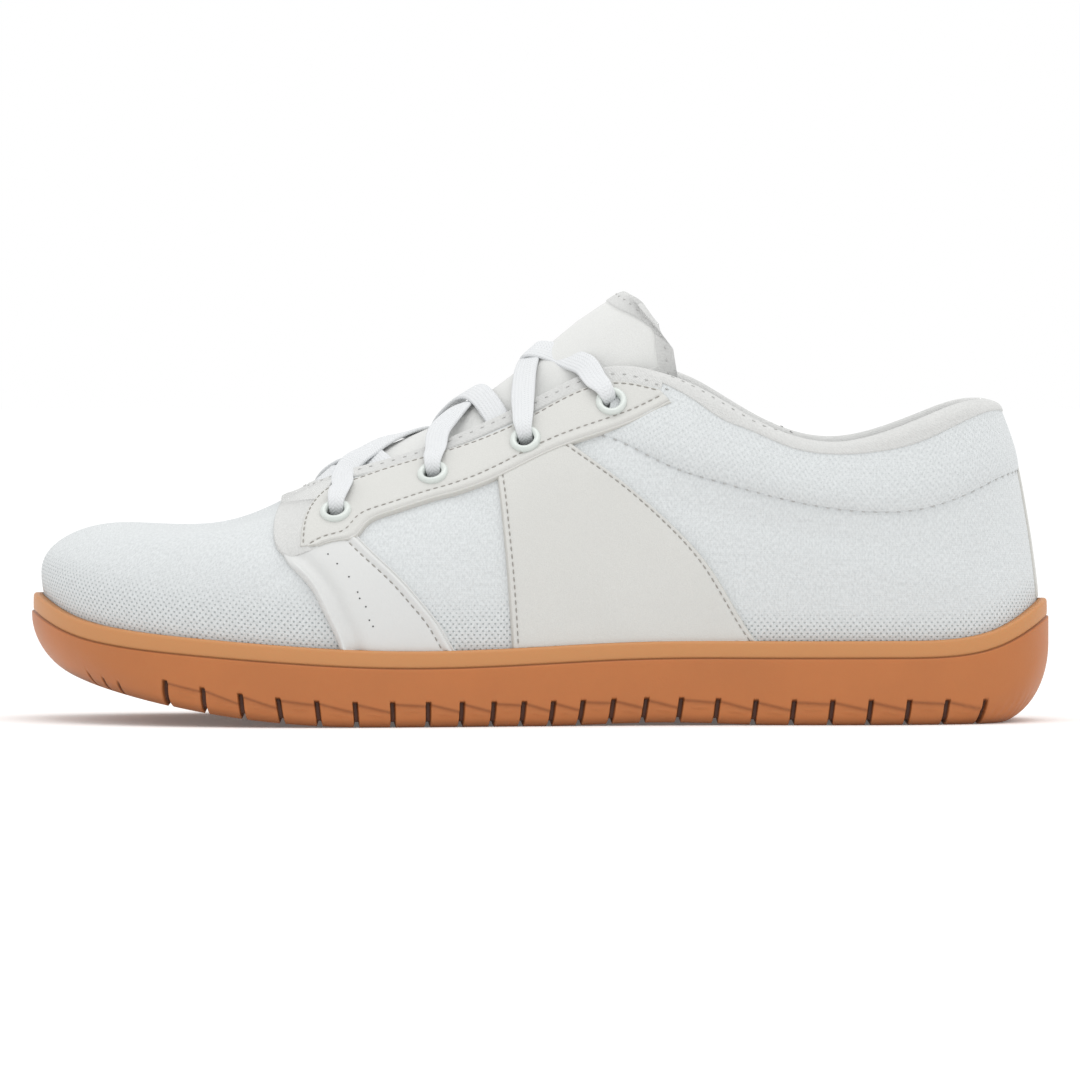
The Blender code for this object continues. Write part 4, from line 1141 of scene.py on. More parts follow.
def joined_turns(mesh, uv, turn):
    """Corner UVs of faces that cross the join of a closed ring, moved on by a whole turn."""
    polygons = np.zeros(len(mesh.polygons), dtype=int)
    mesh.polygons.foreach_get("loop_total", polygons)
    owner = np.repeat(np.arange(len(polygons)), polygons)
    highest = np.zeros(len(polygons))
    np.maximum.at(highest, owner, uv[:, 0])
    uv[:, 0] += turn * (highest[owner] - uv[:, 0] > turn / 2)
    return uv


def shown(name, data):
    """A new object in the scene."""
    made = bpy.data.objects.new(name, data)
    bpy.context.scene.collection.objects.link(made)
    return made


def add_piece(name, points, faces, looks, facing=None, uv=None, turn=None, face_looks=None, **numbers):
    """A mesh object with smooth faces, its UVs in metres and numbers stored on its points."""
    points = np.reshape(points, (-1, 3))
    faces = faces.tolist() if isinstance(faces, np.ndarray) else faces
    faces = [tuple(dict.fromkeys(face)) for face in faces]
    mesh = bpy.data.meshes.new(name)
    mesh.from_pydata(points.tolist(), [], [face for face in faces if len(face) > 2])
    if uv is not None:
        layer = mesh.uv_layers.new(name="lengths")
        corners = np.zeros(len(mesh.loops), dtype=int)
        mesh.loops.foreach_get("vertex_index", corners)
        at_corners = np.reshape(uv, (-1, 2))[corners]
        if turn is not None:
            at_corners = joined_turns(mesh, at_corners, turn)
        layer.data.foreach_set("uv", at_corners.ravel())
    for key, values in numbers.items():
        stored = mesh.attributes.new(key, "FLOAT", "POINT")
        stored.data.foreach_set("value", np.broadcast_to(values, len(points)).astype(float).ravel())
    for look in looks:
        mesh.materials.append(LOOKS[look])
    if face_looks is not None:
        mesh.polygons.foreach_set("material_index", np.asarray(face_looks, dtype=np.int32))
    tidy_mesh(mesh, None if facing is None else np.reshape(facing, (-1, 3)))
    mesh.shade_smooth()
    return shown(name, mesh)


def tidy_mesh(mesh, facing):
    """Turns faces outwards: by given directions on a sheet, or by enclosure on a closed solid."""
    work = bmesh.new()
    work.from_mesh(mesh)
    if facing is None:
        bmesh.ops.remove_doubles(work, verts=work.verts, dist=SAME_POINT)
        bmesh.ops.recalc_face_normals(work, faces=work.faces)
    else:
        work.normal_update()
        work.verts.ensure_lookup_table()
        total = sum(face.normal.dot(Vector(facing[face.verts[0].index])) for face in work.faces)
        if total < 0:
            bmesh.ops.reverse_faces(work, faces=work.faces)
        bmesh.ops.remove_doubles(work, verts=work.verts, dist=SAME_POINT)
    work.to_mesh(mesh)
    work.free()


def grid_uv(points):
    """Lengths along and across a grid of points."""
    across = run_lengths(points)
    along = run_lengths(points.transpose(1, 0, 2)).T
    return side_by_side(np.broadcast_to(along.mean(axis=0), across.shape), across)


def dress(piece, slot, *nodes):
    """Puts a piece on the shoe's body in the place of its CAD nodes; its finish slot is not used."""
    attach(piece, "root")
    if nodes:
        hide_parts(*nodes)
    return piece


# Cup sole

def groove_places():
    """Distances from the heel of the tread's grooves, closer at the waist."""
    places = [FIRST_GROOVE * SHOE_LENGTH]
    while places[-1] < LAST_GROOVE * SHOE_LENGTH:
        along = places[-1] / SHOE_LENGTH
        waist = math.exp(-((along - WAIST_PLACE) / WAIST_SPREAD) ** 2)
        places.append(places[-1] + GROOVE_PITCH - (GROOVE_PITCH - WAIST_PITCH) * waist)
    return np.array(places[:-1])


GROOVES = groove_places()
NOTCHES = np.array(TOE_NOTCHES) * SHOE_LENGTH


def sole_columns():
    """Distances from the heel of the sole's columns: close at each groove and fine at the heel."""
    offsets = np.array([-1.15, -0.86, -0.70, -0.52, -0.20, 0.20, 0.52, 0.70, 0.86, 1.15]) * MM
    fine = np.linspace(0.0, 1.0, 4001)
    edge, _ = outline(fine)
    length = run_lengths(edge)
    heel_end = np.interp(GROOVES[0] - 1.3 * MM, edge[:, 0], length)
    heel = np.interp(np.arange(0.0, heel_end, 0.36 * MM), length, edge[:, 0])
    places = [heel]
    marks = np.concatenate([GROOVES, NOTCHES])
    for here, after in zip(marks, np.append(marks[1:], np.nan)):
        size = 1.0 if here in GROOVES else 0.6
        places.append(here + offsets * size)
        if not np.isnan(after):
            gap = np.linspace(here + offsets[-1] * size, after + offsets[0], 9)[1:-1]
            places.append(gap)
    start = np.interp(marks[-1] + 1.0 * MM, edge[:, 0], length)
    places.append(np.interp(np.arange(start, length[-1], 0.9 * MM), length, edge[:, 0]))
    places.append(edge[-1:, 0])
    return np.unique(np.concatenate(places))


def cut_across(x, place, flanks):
    """1 in a cut across the tread, and 0 from the edges of its lugs on."""
    return 1 - smooth_step(flanks[0] * MM, flanks[1] * MM, np.abs(x - place))


def groove_mask(x):
    """1 in a groove of the tread and 0 on a lug, and the share of each groove's full size."""
    mask = np.zeros_like(x)
    size = np.ones_like(x)
    for place in GROOVES:
        mask = np.maximum(mask, cut_across(x, place, GROOVE_FLANKS))
    for place in NOTCHES:
        small = cut_across(x, place, NOTCH_FLANKS)
        size = np.where(small > mask, NOTCH_SIZE, size)
        mask = np.maximum(mask, small)
    return mask, size


def groove_lean(x):
    """How much a groove leans: its top towards the heel at the back, towards the toe in front."""
    along = x / SHOE_LENGTH
    reach = smooth_step(0.02, 0.07, along) * (1 - smooth_step(0.93, 0.97, along))
    return reach * np.interp(along, [0.1, 0.45, 0.75, 0.9], [-0.12, -0.14, 0.16, -0.10])


def side_relief(x, over):
    """How far the sole's side is cut in: grooves, the lugs' slanted ledges and their short dashes; and the
    share of painted shade in the grooves and under the ledges.
    """
    mask, size = groove_mask(x)
    top = GROOVE_TOP * size
    groove = mask * (1 - smooth_step(top - 0.5 * MM, top + 0.2 * MM, over))
    index = np.clip(np.searchsorted(GROOVES, x) - 1, 0, len(GROOVES) - 2)
    along = np.clip((x - GROOVES[index]) / (GROOVES[index + 1] - GROOVES[index]), 0, 1)
    lug = (x > GROOVES[0]) & (x < GROOVES[-1])
    turn = np.where(index % 3 == 1, 0.25, 1.0)
    ledge = GROOVE_TOP - 0.7 * MM - LEDGE_FALL * turn * (1 - along)
    face = lug * (1 - smooth_step(ledge - 0.35 * MM, ledge + 0.35 * MM, over))
    dash_line = ledge - 1.6 * MM - 0.9 * MM * (along - 0.5)
    dash = lug * bell(over, dash_line, 0.35 * MM) * smooth_step(0.18, 0.3, along)
    dash = dash * (1 - smooth_step(0.62, 0.74, along))
    # Painted shade in a thin line under each ledge
    line = lug * bell(over, ledge, 0.38 * MM) * (1 - groove)
    cut = GROOVE_DEPTH * size * groove + (LEDGE_DEPTH * face - 0.45 * MM * dash) * (1 - groove)
    return cut, np.clip(groove + 0.42 * line, 0, 1)


def heel_fan(station, over):
    """Fine curved ridges fanning round the heel's lower corners."""
    half = np.minimum(station, 2 - station)
    arc = half * HALF_TURN + over / MM * HEEL_RIDGE_LEAN
    zone = smooth_step(0.022, 0.036, half) * (1 - smooth_step(0.105, 0.125, half))
    height = smooth_step(0.6 * MM, 2.5 * MM, over)
    height = height * (1 - smooth_step(8.0 * MM, 12.0 * MM, over + half * 40 * MM))
    wave = 0.5 + 0.5 * np.sin(2 * math.pi * arc / HEEL_RIDGE_PITCH)
    return HEEL_RIDGE * MM * zone * height * wave


def wall_heights(station):
    """Heights over the tread of the side's rows: round the lower edge, then up to the band's line."""
    _, reach = edge_round(station)
    top = rim_height(station) - BAND_DROP - tread_height(outline(station)[0][..., 0])
    turns = np.radians(np.linspace(0.0, 90.0, 15))
    low = reach * (1 - np.cos(turns))[:, None]
    shares = np.concatenate([np.linspace(0.03, 0.42, 14), np.linspace(0.50, 1.0, 7)])
    return np.concatenate([low, reach + (top - reach) * shares[:, None]])


def sole_ring(x, side):
    """Side of the sole on one side: points, rim band share and share of painted groove shade, a row for each
    height.
    """
    fine = np.linspace(0.0, 1.0, 4001)
    station_fine = fine if side > 0 else 2 - fine
    edge_x = outline(station_fine)[0][:, 0]
    base_station = np.interp(x, edge_x, station_fine)
    heights = wall_heights(base_station)
    leaned = x + groove_lean(x) * (np.clip(heights, 0, 9 * MM) - 4 * MM)
    station = np.interp(np.clip(leaned, 0, edge_x[-1]), edge_x, station_fine)
    relief, groove = side_relief(np.broadcast_to(x, heights.shape), heights)
    mask, size = groove_mask(x)
    inset = wall_inset(station, heights)
    ridge = heel_fan(station, heights)
    base = tread_height(x_of(station, inset))
    lifted = np.maximum(heights, TREAD_DEPTH * mask * size)
    points = [plan_point(station, inset + relief + ridge, base + lifted)]
    band = [np.zeros_like(heights)]
    groove_shade = [groove]
    rim = rim_height(base_station)
    line = rim - BAND_DROP
    # Rows above the band's line: inset, height, whether in the band, and painted shade in the step's groove
    levels = [(drawn * MM, line + up * MM, up > 0.5, 0.42 * (0.2 < up < 0.7)) for drawn, up in BAND_PROFILE]
    for turn in np.radians([0.0, 25.0, 50.0, 70.0, 90.0]):
        drawn = BAND_STEP + RIM_ROUND * (1 - math.cos(turn))
        levels.append((drawn, rim - RIM_ROUND * (1 - math.sin(turn)), 1, 0))
    levels.append((BAND_STEP + RIM_WALL, rim, 1, 0))
    tread = tread_height(x_of(base_station, RIM_WALL))
    for share in (0.4, 1.0):
        height = rim + (tread + SOLE_THICKNESS - rim) * share
        levels.append((cup_inset(base_station, height - tread), height, 1, 0))
    for drawn, height, in_band, darkness in levels:
        points.append(plan_point(base_station, np.broadcast_to(drawn, rim.shape), height)[None])
        band.append(np.full((1, len(rim)), float(in_band)))
        groove_shade.append(np.full((1, len(rim)), float(darkness)))
    return [np.concatenate(part) for part in (points, band, groove_shade)]


def build_sole():
    """Gum cup sole: grooved and ribbed side, stepped rim band, grooved tread and cup floor."""
    x = sole_columns()
    outer, outer_band, outer_groove_shade = sole_ring(x, 1)
    inner, inner_band, inner_groove_shade = sole_ring(x, -1)
    both = ((outer, inner), (outer_band, inner_band), (outer_groove_shade, inner_groove_shade))
    ring, band, groove_shade = (np.concatenate([there, back[:, -2:0:-1]], axis=1) for there, back in both)
    rows, columns = ring.shape[:2]
    faces = grid_faces(rows, columns, close_columns=True).tolist()
    mask, size = groove_mask(x)
    shares = np.linspace(0, 1, 15)[1:-1]
    tread = outer[0] + (inner[0] - outer[0]) * shares[:, None, None]
    tread[..., 2] = tread_height(tread[..., 0] + MIDDLE[0]) + TREAD_DEPTH * mask * size
    floor = outer[-1:] + (inner[-1:] - outer[-1:]) * np.array([0.5])[:, None, None]
    points = np.concatenate([ring.reshape(-1, 3), tread.reshape(-1, 3), floor.reshape(-1, 3)])
    count = len(x)

    def strip(first_row, added, steps):
        """Faces across the shoe from the outer side's row, over added points, to the inner side's."""
        lateral = first_row * columns + np.arange(count)
        medial = first_row * columns + (columns - np.arange(count)) % columns
        medial[-1] = first_row * columns + count - 1
        between = [added + i * count + np.arange(count) for i in range(steps)]
        lines = np.array([lateral, *between, medial])
        corners = [lines[:-1, :-1], lines[:-1, 1:], lines[1:, 1:], lines[1:, :-1]]
        return np.stack(corners, axis=-1).reshape(-1, 4).tolist()

    first = rows * columns
    faces += strip(0, first, len(shares))
    faces += strip(rows - 1, first + len(shares) * count, 1)
    extra = len(points) - first
    # Painted shade in the tread's grooves on the underside
    tread_groove_shade = np.concatenate([np.tile(mask * size, len(shares)), np.zeros(count)]) * 0.9
    heights = points[:, 2] - tread_height(points[:, 0] + MIDDLE[0])
    piece = add_piece(
        "sole_gum", points, faces, ["gum"],
        # Painted shade along the sole's bottom edge
        under_shade=0.75 * (1 - smooth_step(0.4 * MM, 2.8 * MM, heights)),
        rim_band=np.concatenate([band.ravel(), np.zeros(extra)]),
        groove_depth=np.concatenate([groove_shade.ravel(), tread_groove_shade]),
    )
    return dress(piece, "gum_rubber", "outsole")


# Upper, insole and lining

def ring_stations(count):
    """Stations round the shoe that stand closer where the outline turns."""
    fine = np.linspace(0.0, 2.0, 3201)
    point, outward = outline(fine)
    length = np.linalg.norm(np.diff(point, axis=0), axis=1)
    turn = np.linalg.norm(np.diff(outward, axis=0), axis=1)
    total = np.append(0.0, np.cumsum(length / length.sum() + 0.5 * turn / turn.sum()))
    return np.interp(np.linspace(0.0, total[-1], count + 1)[:-1], total, fine)


def placed_under(along, height, side, lift):
    """Stations and rises whose points stand at places of the side view once lifted off the surface."""
    first = VIEW.place(along, height, side)
    normal = upper_normal(first[:, 0], first[:, 1])
    shift = normal[:, [0, 2]] * lift / (SHOE_LENGTH, QUARTER_HEIGHT)
    return VIEW.place(along - shift[:, 0], height - shift[:, 1], side)


def eyelet_axes():
    """Centre on the upper's face and outward direction of each eyelet, by side and row."""
    axes = {}
    for side in (1, -1):
        places = placed_under(EYELETS["along"], EYELETS["height"], side, SUEDE_LIFT + 0.3 * MM)
        points, normals = skin(places[:, 0], places[:, 1])
        for i in range(len(places)):
            axes[side, i] = (points[i], normals[i], places[i])
    return axes


EYELET_AXES = eyelet_axes()


def outside_eyelets(points, faces, radius):
    """Faces that don't lie over an eyelet's bore."""
    points = np.reshape(points, (-1, 3))
    middle = points[faces].mean(axis=1)
    keep = np.ones(len(faces), dtype=bool)
    for centre, normal, _ in EYELET_AXES.values():
        away = middle - centre
        depth = away @ normal
        off = np.linalg.norm(away - depth[:, None] * normal, axis=1)
        keep &= (off > radius) | (np.abs(depth) > 8 * MM)
    return keep


def build_upper():
    """Hollow knit upper: outer face, rolled edge, lining, and its foot inside the cup."""
    station = ring_stations(420)
    count = len(station)
    low_rises = [-1.0, -0.5, -0.15]
    rises = np.concatenate([np.linspace(0.0, 0.9, 78), np.linspace(0.91, 1.0, 8)])
    rows = [upper_wall(station, rise) for rise in low_rises]
    for rise in rises:
        rows.append(skin(station, np.full(count, rise))[0])
    outer_count = len(rows)
    for angle in np.radians([30.0, 60.0, 90.0, 120.0, 150.0]):
        rows.append(edge_roll(station, 0.0, angle)[0])
    for rise in np.linspace(1.0, 0.0, 40):
        depth = wall_thickness(station, np.full(count, rise))[:, None]
        rows.append(upper_wall(station, rise) - upper_normal(station, rise) * depth)
    _, outward = outline(station)
    inward = np.concatenate([outward, np.zeros((count, 1))], axis=1) * UPPER_WALL
    for rise in (-0.5, -1.0):
        rows.append(upper_wall(station, rise) - inward)
    points = np.array(rows)
    faces = grid_faces(len(points), count, close_rows=True, close_columns=True)
    row_of_face = faces[:, 0] // count
    keep = outside_eyelets(points, faces, 3.2 * MM)
    low_row = upper_wall(station, 0.2)
    around = run_lengths(low_row)
    up = np.concatenate([run_lengths(points[:outer_count]), run_lengths(points[outer_count:])])
    uv = side_by_side(np.broadcast_to(around, up.shape), up)
    facing = upper_normal(station[None, :], rises[:, None])[..., 2]
    top = np.zeros(points.shape[:2])
    top[len(low_rises):outer_count] = smooth_step(0.50, 0.72, facing)
    over_rim = up - up[len(low_rises)]
    reach = 1 + 0.9 * smooth_step(0.015, 0.050, points[..., 0])
    reach += 0.8 * bell(points[..., 0], 0.005, 0.03)
    # How much painted shade the knit's holes carry: most near the sole
    show = 0.07 + 0.80 * (1 - smooth_step(3.0 * MM * reach, 9.5 * MM * reach, over_rim))
    piece = add_piece(
        "upper_knit", points, faces[keep], ["knit", "lining"], uv=uv,
        turn=around[-1] + np.linalg.norm(low_row[0] - low_row[-1]),
        face_looks=(row_of_face >= outer_count + 2)[keep], vamp_top=top.ravel(), hole_show=show.ravel(),
    )
    return dress(piece, "white_knit", "upper")


def build_insole():
    """Thin textile-topped footbed with a softly rounded edge."""
    station = ring_stations(240)
    tread = tread_height(x_of(station, RIM_WALL))
    inset = cup_inset(station, SOLE_THICKNESS) + UPPER_WALL + 3 * CLEARANCE
    rows = []
    for drawn, up in ((0.0, 0.0), (0.0, 1.8), (0.25, 2.5), (0.9, 3.0), (2.5, 3.1)):
        rows.append(plan_point(station, inset + drawn * MM, tread + SOLE_THICKNESS + CLEARANCE + up * MM))
    for share in (0.75, 0.5, 0.25, 0.03):
        row = rows[4].copy()
        row[:, 1] *= share
        row[:, 0] = rows[4][:, 0] * (0.35 + 0.65 * share)
        row[:, 2] = tread_height(row[:, 0] + MIDDLE[0]) + SOLE_THICKNESS + CLEARANCE + 3.0 * MM
        rows.append(row)
    points = np.array(rows)
    faces = grid_faces(len(points), len(station), close_columns=True).tolist()
    last = (len(points) - 1) * len(station)
    faces.append(tuple(last + c for c in range(len(station))))
    faces.append(tuple(reversed(range(len(station)))))
    piece = add_piece("insole_textile", points, faces, ["insole"])
    return dress(piece, "grey_foam", "insole")


# Overlays

def panel_grid(first, second, rows):
    """Stations and rises of a grid between two edges, close at its borders, with border distances."""
    share = even_cosine(rows)[:, None, None]
    places = first[None] * (1 - share) + second[None] * share
    point, normal = skin(places[..., 0], places[..., 1])
    across = run_lengths(point)
    along = run_lengths(point.transpose(1, 0, 2)).T
    borders = {
        "first": across, "second": across[-1:] - across,
        "start": along, "end": along[:, -1:] - along,
    }
    return point, normal, borders


def panel_piece(name, edges, rows, lift, look, slot, node, profile=None, closed_ends=True):
    """A panel on the upper between two edges, with rounded, slightly worn borders."""
    point, normal, borders = panel_grid(*edges, rows)
    names = ["first", "second", "start"] + (["end"] if closed_ends else [])
    nearest = np.minimum.reduce([borders[key] for key in names])
    height = -PANEL_SINK + (PANEL_SINK + lift) * rounded(nearest, PANEL_ROUND)
    if profile is not None:
        height = profile(height, borders)
    points = point + normal * height[..., None]
    wear = 1 - smooth_step(0.15 * MM, 0.8 * MM, nearest)
    faces = grid_faces(*points.shape[:2])
    keep = outside_eyelets(points, faces, 3.0 * MM)
    piece = add_piece(name, points, faces[keep], [look], facing=normal,
                      uv=grid_uv(points), edge_wear=wear.ravel())
    return dress(piece, slot, *([node] if node else []))


def spaced(curve, count):
    """A panel edge's stations and rises with points close at both ends."""
    return columns_at(even_cosine(count) * (len(curve) - 1), np.arange(len(curve)), curve)


def folded_edge(border):
    """A folded edge: a fine line near its border, a roll, and a dip under the stitches."""
    line = bell(border, 0.95 * MM, 0.22 * MM)
    roll = bell(border, 1.9 * MM, 0.75 * MM)
    dip = bell(border, FOLD_STITCH, 0.45 * MM)
    return 0.42 * MM * roll - 0.30 * MM * line - 0.22 * MM * dip


def eyestay_form(height, borders):
    """The eyestay's folded lower edge and the dip along its upper stitches."""
    dip = bell(borders["second"], EDGE_STITCH, 0.4 * MM)
    return height + folded_edge(borders["first"]) - 0.12 * MM * dip


def strip_trough(distance):
    """Depth of the soft trough behind the forefoot strip's front edge."""
    return 0.90 * MM * bell(distance, 5.0 * MM, 2.3 * MM)


def strip_form(height, borders):
    """Forefoot strip: a piping ridge at its front edge, a soft trough behind it, a folded rear edge."""
    front, start = borders["first"], borders["start"]
    ridge = bell(front, 1.5 * MM, 1.0 * MM) * rounded(front, 1.2 * MM)
    swell = 1.2 * MM * ridge * smooth_step(0.0, 9.0 * MM, start)
    trough = strip_trough(front) * smooth_step(0.0, 4.0 * MM, start)
    return height + swell - trough + folded_edge(borders["second"])


def stitched_edge(height, borders):
    """A shallow dip along the stitches at both edges."""
    dip = sum(bell(borders[key], SADDLE_STITCH, 0.5 * MM) for key in ("first", "second"))
    return height - 0.16 * MM * dip


def edge_pair(edges, side, count):
    """Stations and rises of a panel's two edges."""
    return [VIEW.curve(edge, side, count) for edge in edges]


def down_to_sole(edges, side, count):
    """A panel's two edges, whose last points stand on the sole's rim."""
    pair = [spaced(edge, count) for edge in edge_pair(edges, side, 200)]
    for edge in pair:
        edge[:, 1] = np.maximum(edge[:, 1], 0.0005)
    return pair


def build_overlays():
    """Eyestays, forefoot strips and saddles on both sides."""
    for side, word in SIDES:
        panel_piece("forefoot_leather_" + word, down_to_sole(STRIP_EDGES, side, 90), 110, LEATHER_LIFT,
                    "leather", "white_leather", "forefoot_strip_" + word, strip_form, closed_ends=False)
        panel_piece("saddle_suede_" + word, down_to_sole(SADDLE_EDGES, side, 100), 80, SADDLE_LIFT,
                    "suede", "white_suede", "saddle_" + word, stitched_edge, closed_ends=False)
        eyestay = [spaced(edge, 230) for edge in edge_pair(EYESTAY_EDGES, side, 300)]
        panel_piece("eyestay_suede_" + word, eyestay, 64, SUEDE_LIFT, "suede", "white_suede",
                    "eyestay_" + word, eyestay_form)


def seam_curve():
    """Collar seam round the heel from side to side, as stations and rises."""
    outer = VIEW.curve(COLLAR_SEAM, 1, 200)
    inner = VIEW.curve(COLLAR_SEAM, -1, 200)
    inner[:, 0] -= 2
    joined = np.concatenate([outer, inner[::-1]])
    at = np.linspace(joined[0, 0], joined[-1, 0], 420)
    order = np.argsort(joined[:, 0])
    rise = np.interp(at, joined[order, 0], joined[order, 1])
    smooth = np.convolve(np.pad(rise, 8, mode="edge"), np.ones(17) / 17, mode="valid")
    return side_by_side(at, smooth)


def collar_swell(height, borders, behind):
    """The padded panel swells over its seam and eases in under the binding."""
    up = borders["first"]
    total = up + borders["second"]
    share = up / np.maximum(total, 1e-9)
    ends = smooth_step(0.0, 18 * MM, borders["start"]) * smooth_step(0.0, 18 * MM, borders["end"])
    swell = np.sin(math.pi * np.clip(share, 0, 1) ** 0.62)
    return height * 0.4 + (0.3 + 0.7 * ends * behind) * 1.9 * MM * swell


def build_collar():
    """Padded knit collar panel and the tape bound over the collar's edge."""
    seam = seam_curve()
    station = seam[:, 0]
    high = side_by_side(station, rise_below_edge(station, binding_width(station) - 0.4 * MM))
    point, normal, borders = panel_grid(seam, high, 34)
    height = -0.6 * MM + 1.1 * MM * rounded(borders["first"], 0.8 * MM)
    behind = smooth_step(station_of(0.012), station_of(0.10), np.abs(station))
    height = collar_swell(height, borders, behind)
    points = point + normal * height[..., None]
    uv = grid_uv(points)
    uv[..., 0] *= -1
    # The collar's knit holes carry a little painted shade
    piece = add_piece("collar_pad", points, grid_faces(*points.shape[:2]), ["knit"], facing=normal,
                      uv=uv, vamp_top=0.0, hole_show=0.20)
    dress(piece, "white_knit", "collar_panel")
    half = station_of(THROAT_START)
    station = np.linspace(-half, half, 460)
    bound_edge("collar_binding", station, binding_width(station), COLLAR_BAND_LIFT)


def binding_width(station):
    """How far the collar's binding reaches down the outer face."""
    knots = station_of(COLLAR_BINDING["along"])
    return spline(knots, COLLAR_BINDING["width"], np.abs(station)) * MM


def edge_roll(station, proud, angle):
    """A point on the opening's rounded edge, turned by an angle from the outer face, and its direction."""
    edge = upper_wall(station, 1.0)
    normal = upper_normal(station, 1.0)
    ahead = upper_wall(station + SMALL_STEP, 1.0) - upper_wall(station - SMALL_STEP, 1.0)
    upward = unit(np.cross(ahead, normal))
    upward *= np.sign(np.sum(upward * (edge - upper_wall(station, 0.98)), -1))[:, None]
    radius = (wall_thickness(station, 1.0) / 2)[:, None]
    turn = np.broadcast_to(angle, station.shape)[:, None]
    out = normal * np.cos(turn) + upward * np.sin(turn)
    return edge - normal * radius + out * (radius + proud), out


def bound_edge(name, station, width, proud):
    """Tape folded over the opening's edge: down the outer face, over the edge and down the lining."""
    rows = []
    facing = []
    width = np.broadcast_to(width, station.shape)
    for share in np.append(0.0, 0.02 + 0.98 * np.linspace(0, 1, 14)):
        rise = rise_below_edge(station, width * (1 - share))
        lift = -0.5 * MM + (0.5 * MM + proud) * rounded(width * share, 0.6 * MM)
        point, normal = skin(station, rise, lift)
        rows.append(point)
        facing.append(normal)
    for angle in np.radians(range(18, 181, 18)):
        point, out = edge_roll(station, proud, angle)
        rows.append(point)
        facing.append(out)
    for share in np.linspace(0.1, 1.0, 8):
        rise = rise_below_edge(station, width * share)
        depth = wall_thickness(station, rise) + proud * rounded((1 - share) * width, 0.6 * MM)
        depth -= 0.3 * MM * (share > 0.99)
        normal = upper_normal(station, rise)
        rows.append(upper_wall(station, rise) - normal * depth[:, None])
        facing.append(-normal)
    points = np.array(rows)
    piece = add_piece(name, points, grid_faces(*points.shape[:2]), ["tape"], facing=np.array(facing),
                      uv=grid_uv(points), edge_wear=0.0)
    return dress(piece, "white_cotton")


def build_throat():
    """Tape along the throat's edge, and its wider nose round the front of the throat."""
    start = station_of(THROAT_START)
    station = np.linspace(start, 2 - start, 420)
    half = np.minimum(station, 2 - station)
    width = THROAT_BAND_WIDTH + 2.5 * MM * smooth_step(station_of(0.72), station_of(0.90), half)
    bound_edge("throat_band", station, width, THROAT_BAND_LIFT)
    edges = []
    for places in (NOSE_FRONT, NOSE_REAR):
        outer = VIEW.curve(places, 1, 60)
        inner = VIEW.curve(places, -1, 60)
        between = np.linspace(outer[-1, 0], inner[-1, 0], 60)[1:-1]
        if places is NOSE_REAR:
            rise = rise_below_edge(between, 7.0 * MM)
        else:
            rise = rise_at_along(between, places["along"][-1])
        middle = side_by_side(between, rise)
        edges.append(spaced(np.concatenate([outer, middle, inner[::-1]]), 190))
    panel_piece("throat_nose", edges, 26, NOSE_LIFT, "tape", "white_cotton", None)


def build_heel_strip():
    """Narrow suede strip up the back of the heel."""
    seam = seam_curve()
    middle = seam[np.argmin(np.abs(seam[:, 0])), 1]
    reach = station_of(HEEL_STRIP_REACH)
    rise = np.linspace(0.004, middle + 0.02, 80)
    edges = [spaced(side_by_side(np.full_like(rise, end), rise), 90) for end in (-reach, reach)]
    panel_piece("heel_suede", edges, 30, HEEL_STRIP_LIFT, "suede", "white_suede",
                "heel_strip", stitched_edge, closed_ends=False)


# Tongue

def tongue_spans(total):
    """Distances from one border to the other: fine near both, with a line at the tape's inner edge."""
    tape = TONGUE_BINDING_WIDTH
    near = np.array([0.0, 0.15, 0.4, 0.8, 1.3, 1.9, 2.6, 3.4, 4.4, 5.4, 6.2, 6.6]) * MM
    near = np.concatenate([near, [tape, tape + 0.25 * MM, tape + 0.8 * MM]])
    middle = np.linspace(tape + 2.0 * MM, total - tape - 2.0 * MM, 28)
    return np.concatenate([near, middle, total - near[::-1]])


def tongue_grid():
    """Rows and places across of the tongue's grid, and each point's distance from the side and the tip."""
    fine_row = np.linspace(0.0, TONGUE_END, 400)
    crown = run_lengths(tongue_face(fine_row, 0.0))
    from_tip = crown[-1] - crown
    free = tongue_spans(2 * (from_tip[0] - 10 * MM))[:22]
    low = np.linspace(from_tip[0], free[-1], 70)[:-1]
    tips = np.concatenate([low, free[::-1]])
    crown_row = np.interp(tips, from_tip[::-1], fine_row[::-1])
    across_fine = np.linspace(-1.0, 1.0, 121)
    share = np.linspace(0.0, 1.0, 200)
    level = np.empty((len(tips), len(across_fine)))
    for j, across in enumerate(across_fine):
        column = (TONGUE_END - TONGUE_CORNER * across ** 4) * (1 - share)
        level[:, j] = np.interp(tips, run_lengths(tongue_face(column, across)), column)
    low_part = smooth_step(12 * MM, 32 * MM, tips)[:, None]
    level += (crown_row[:, None] - level) * low_part
    rows, places, sides = [], [], []
    for line in level:
        length = run_lengths(tongue_face(line, across_fine))
        spans = tongue_spans(length[-1])
        rows.append(np.interp(spans, length, line))
        places.append(np.interp(spans, length, across_fine))
        sides.append(np.minimum(spans, length[-1] - spans))
    places = np.array(places)
    return np.array(rows), places, np.array(sides), np.broadcast_to(tips[:, None], places.shape)


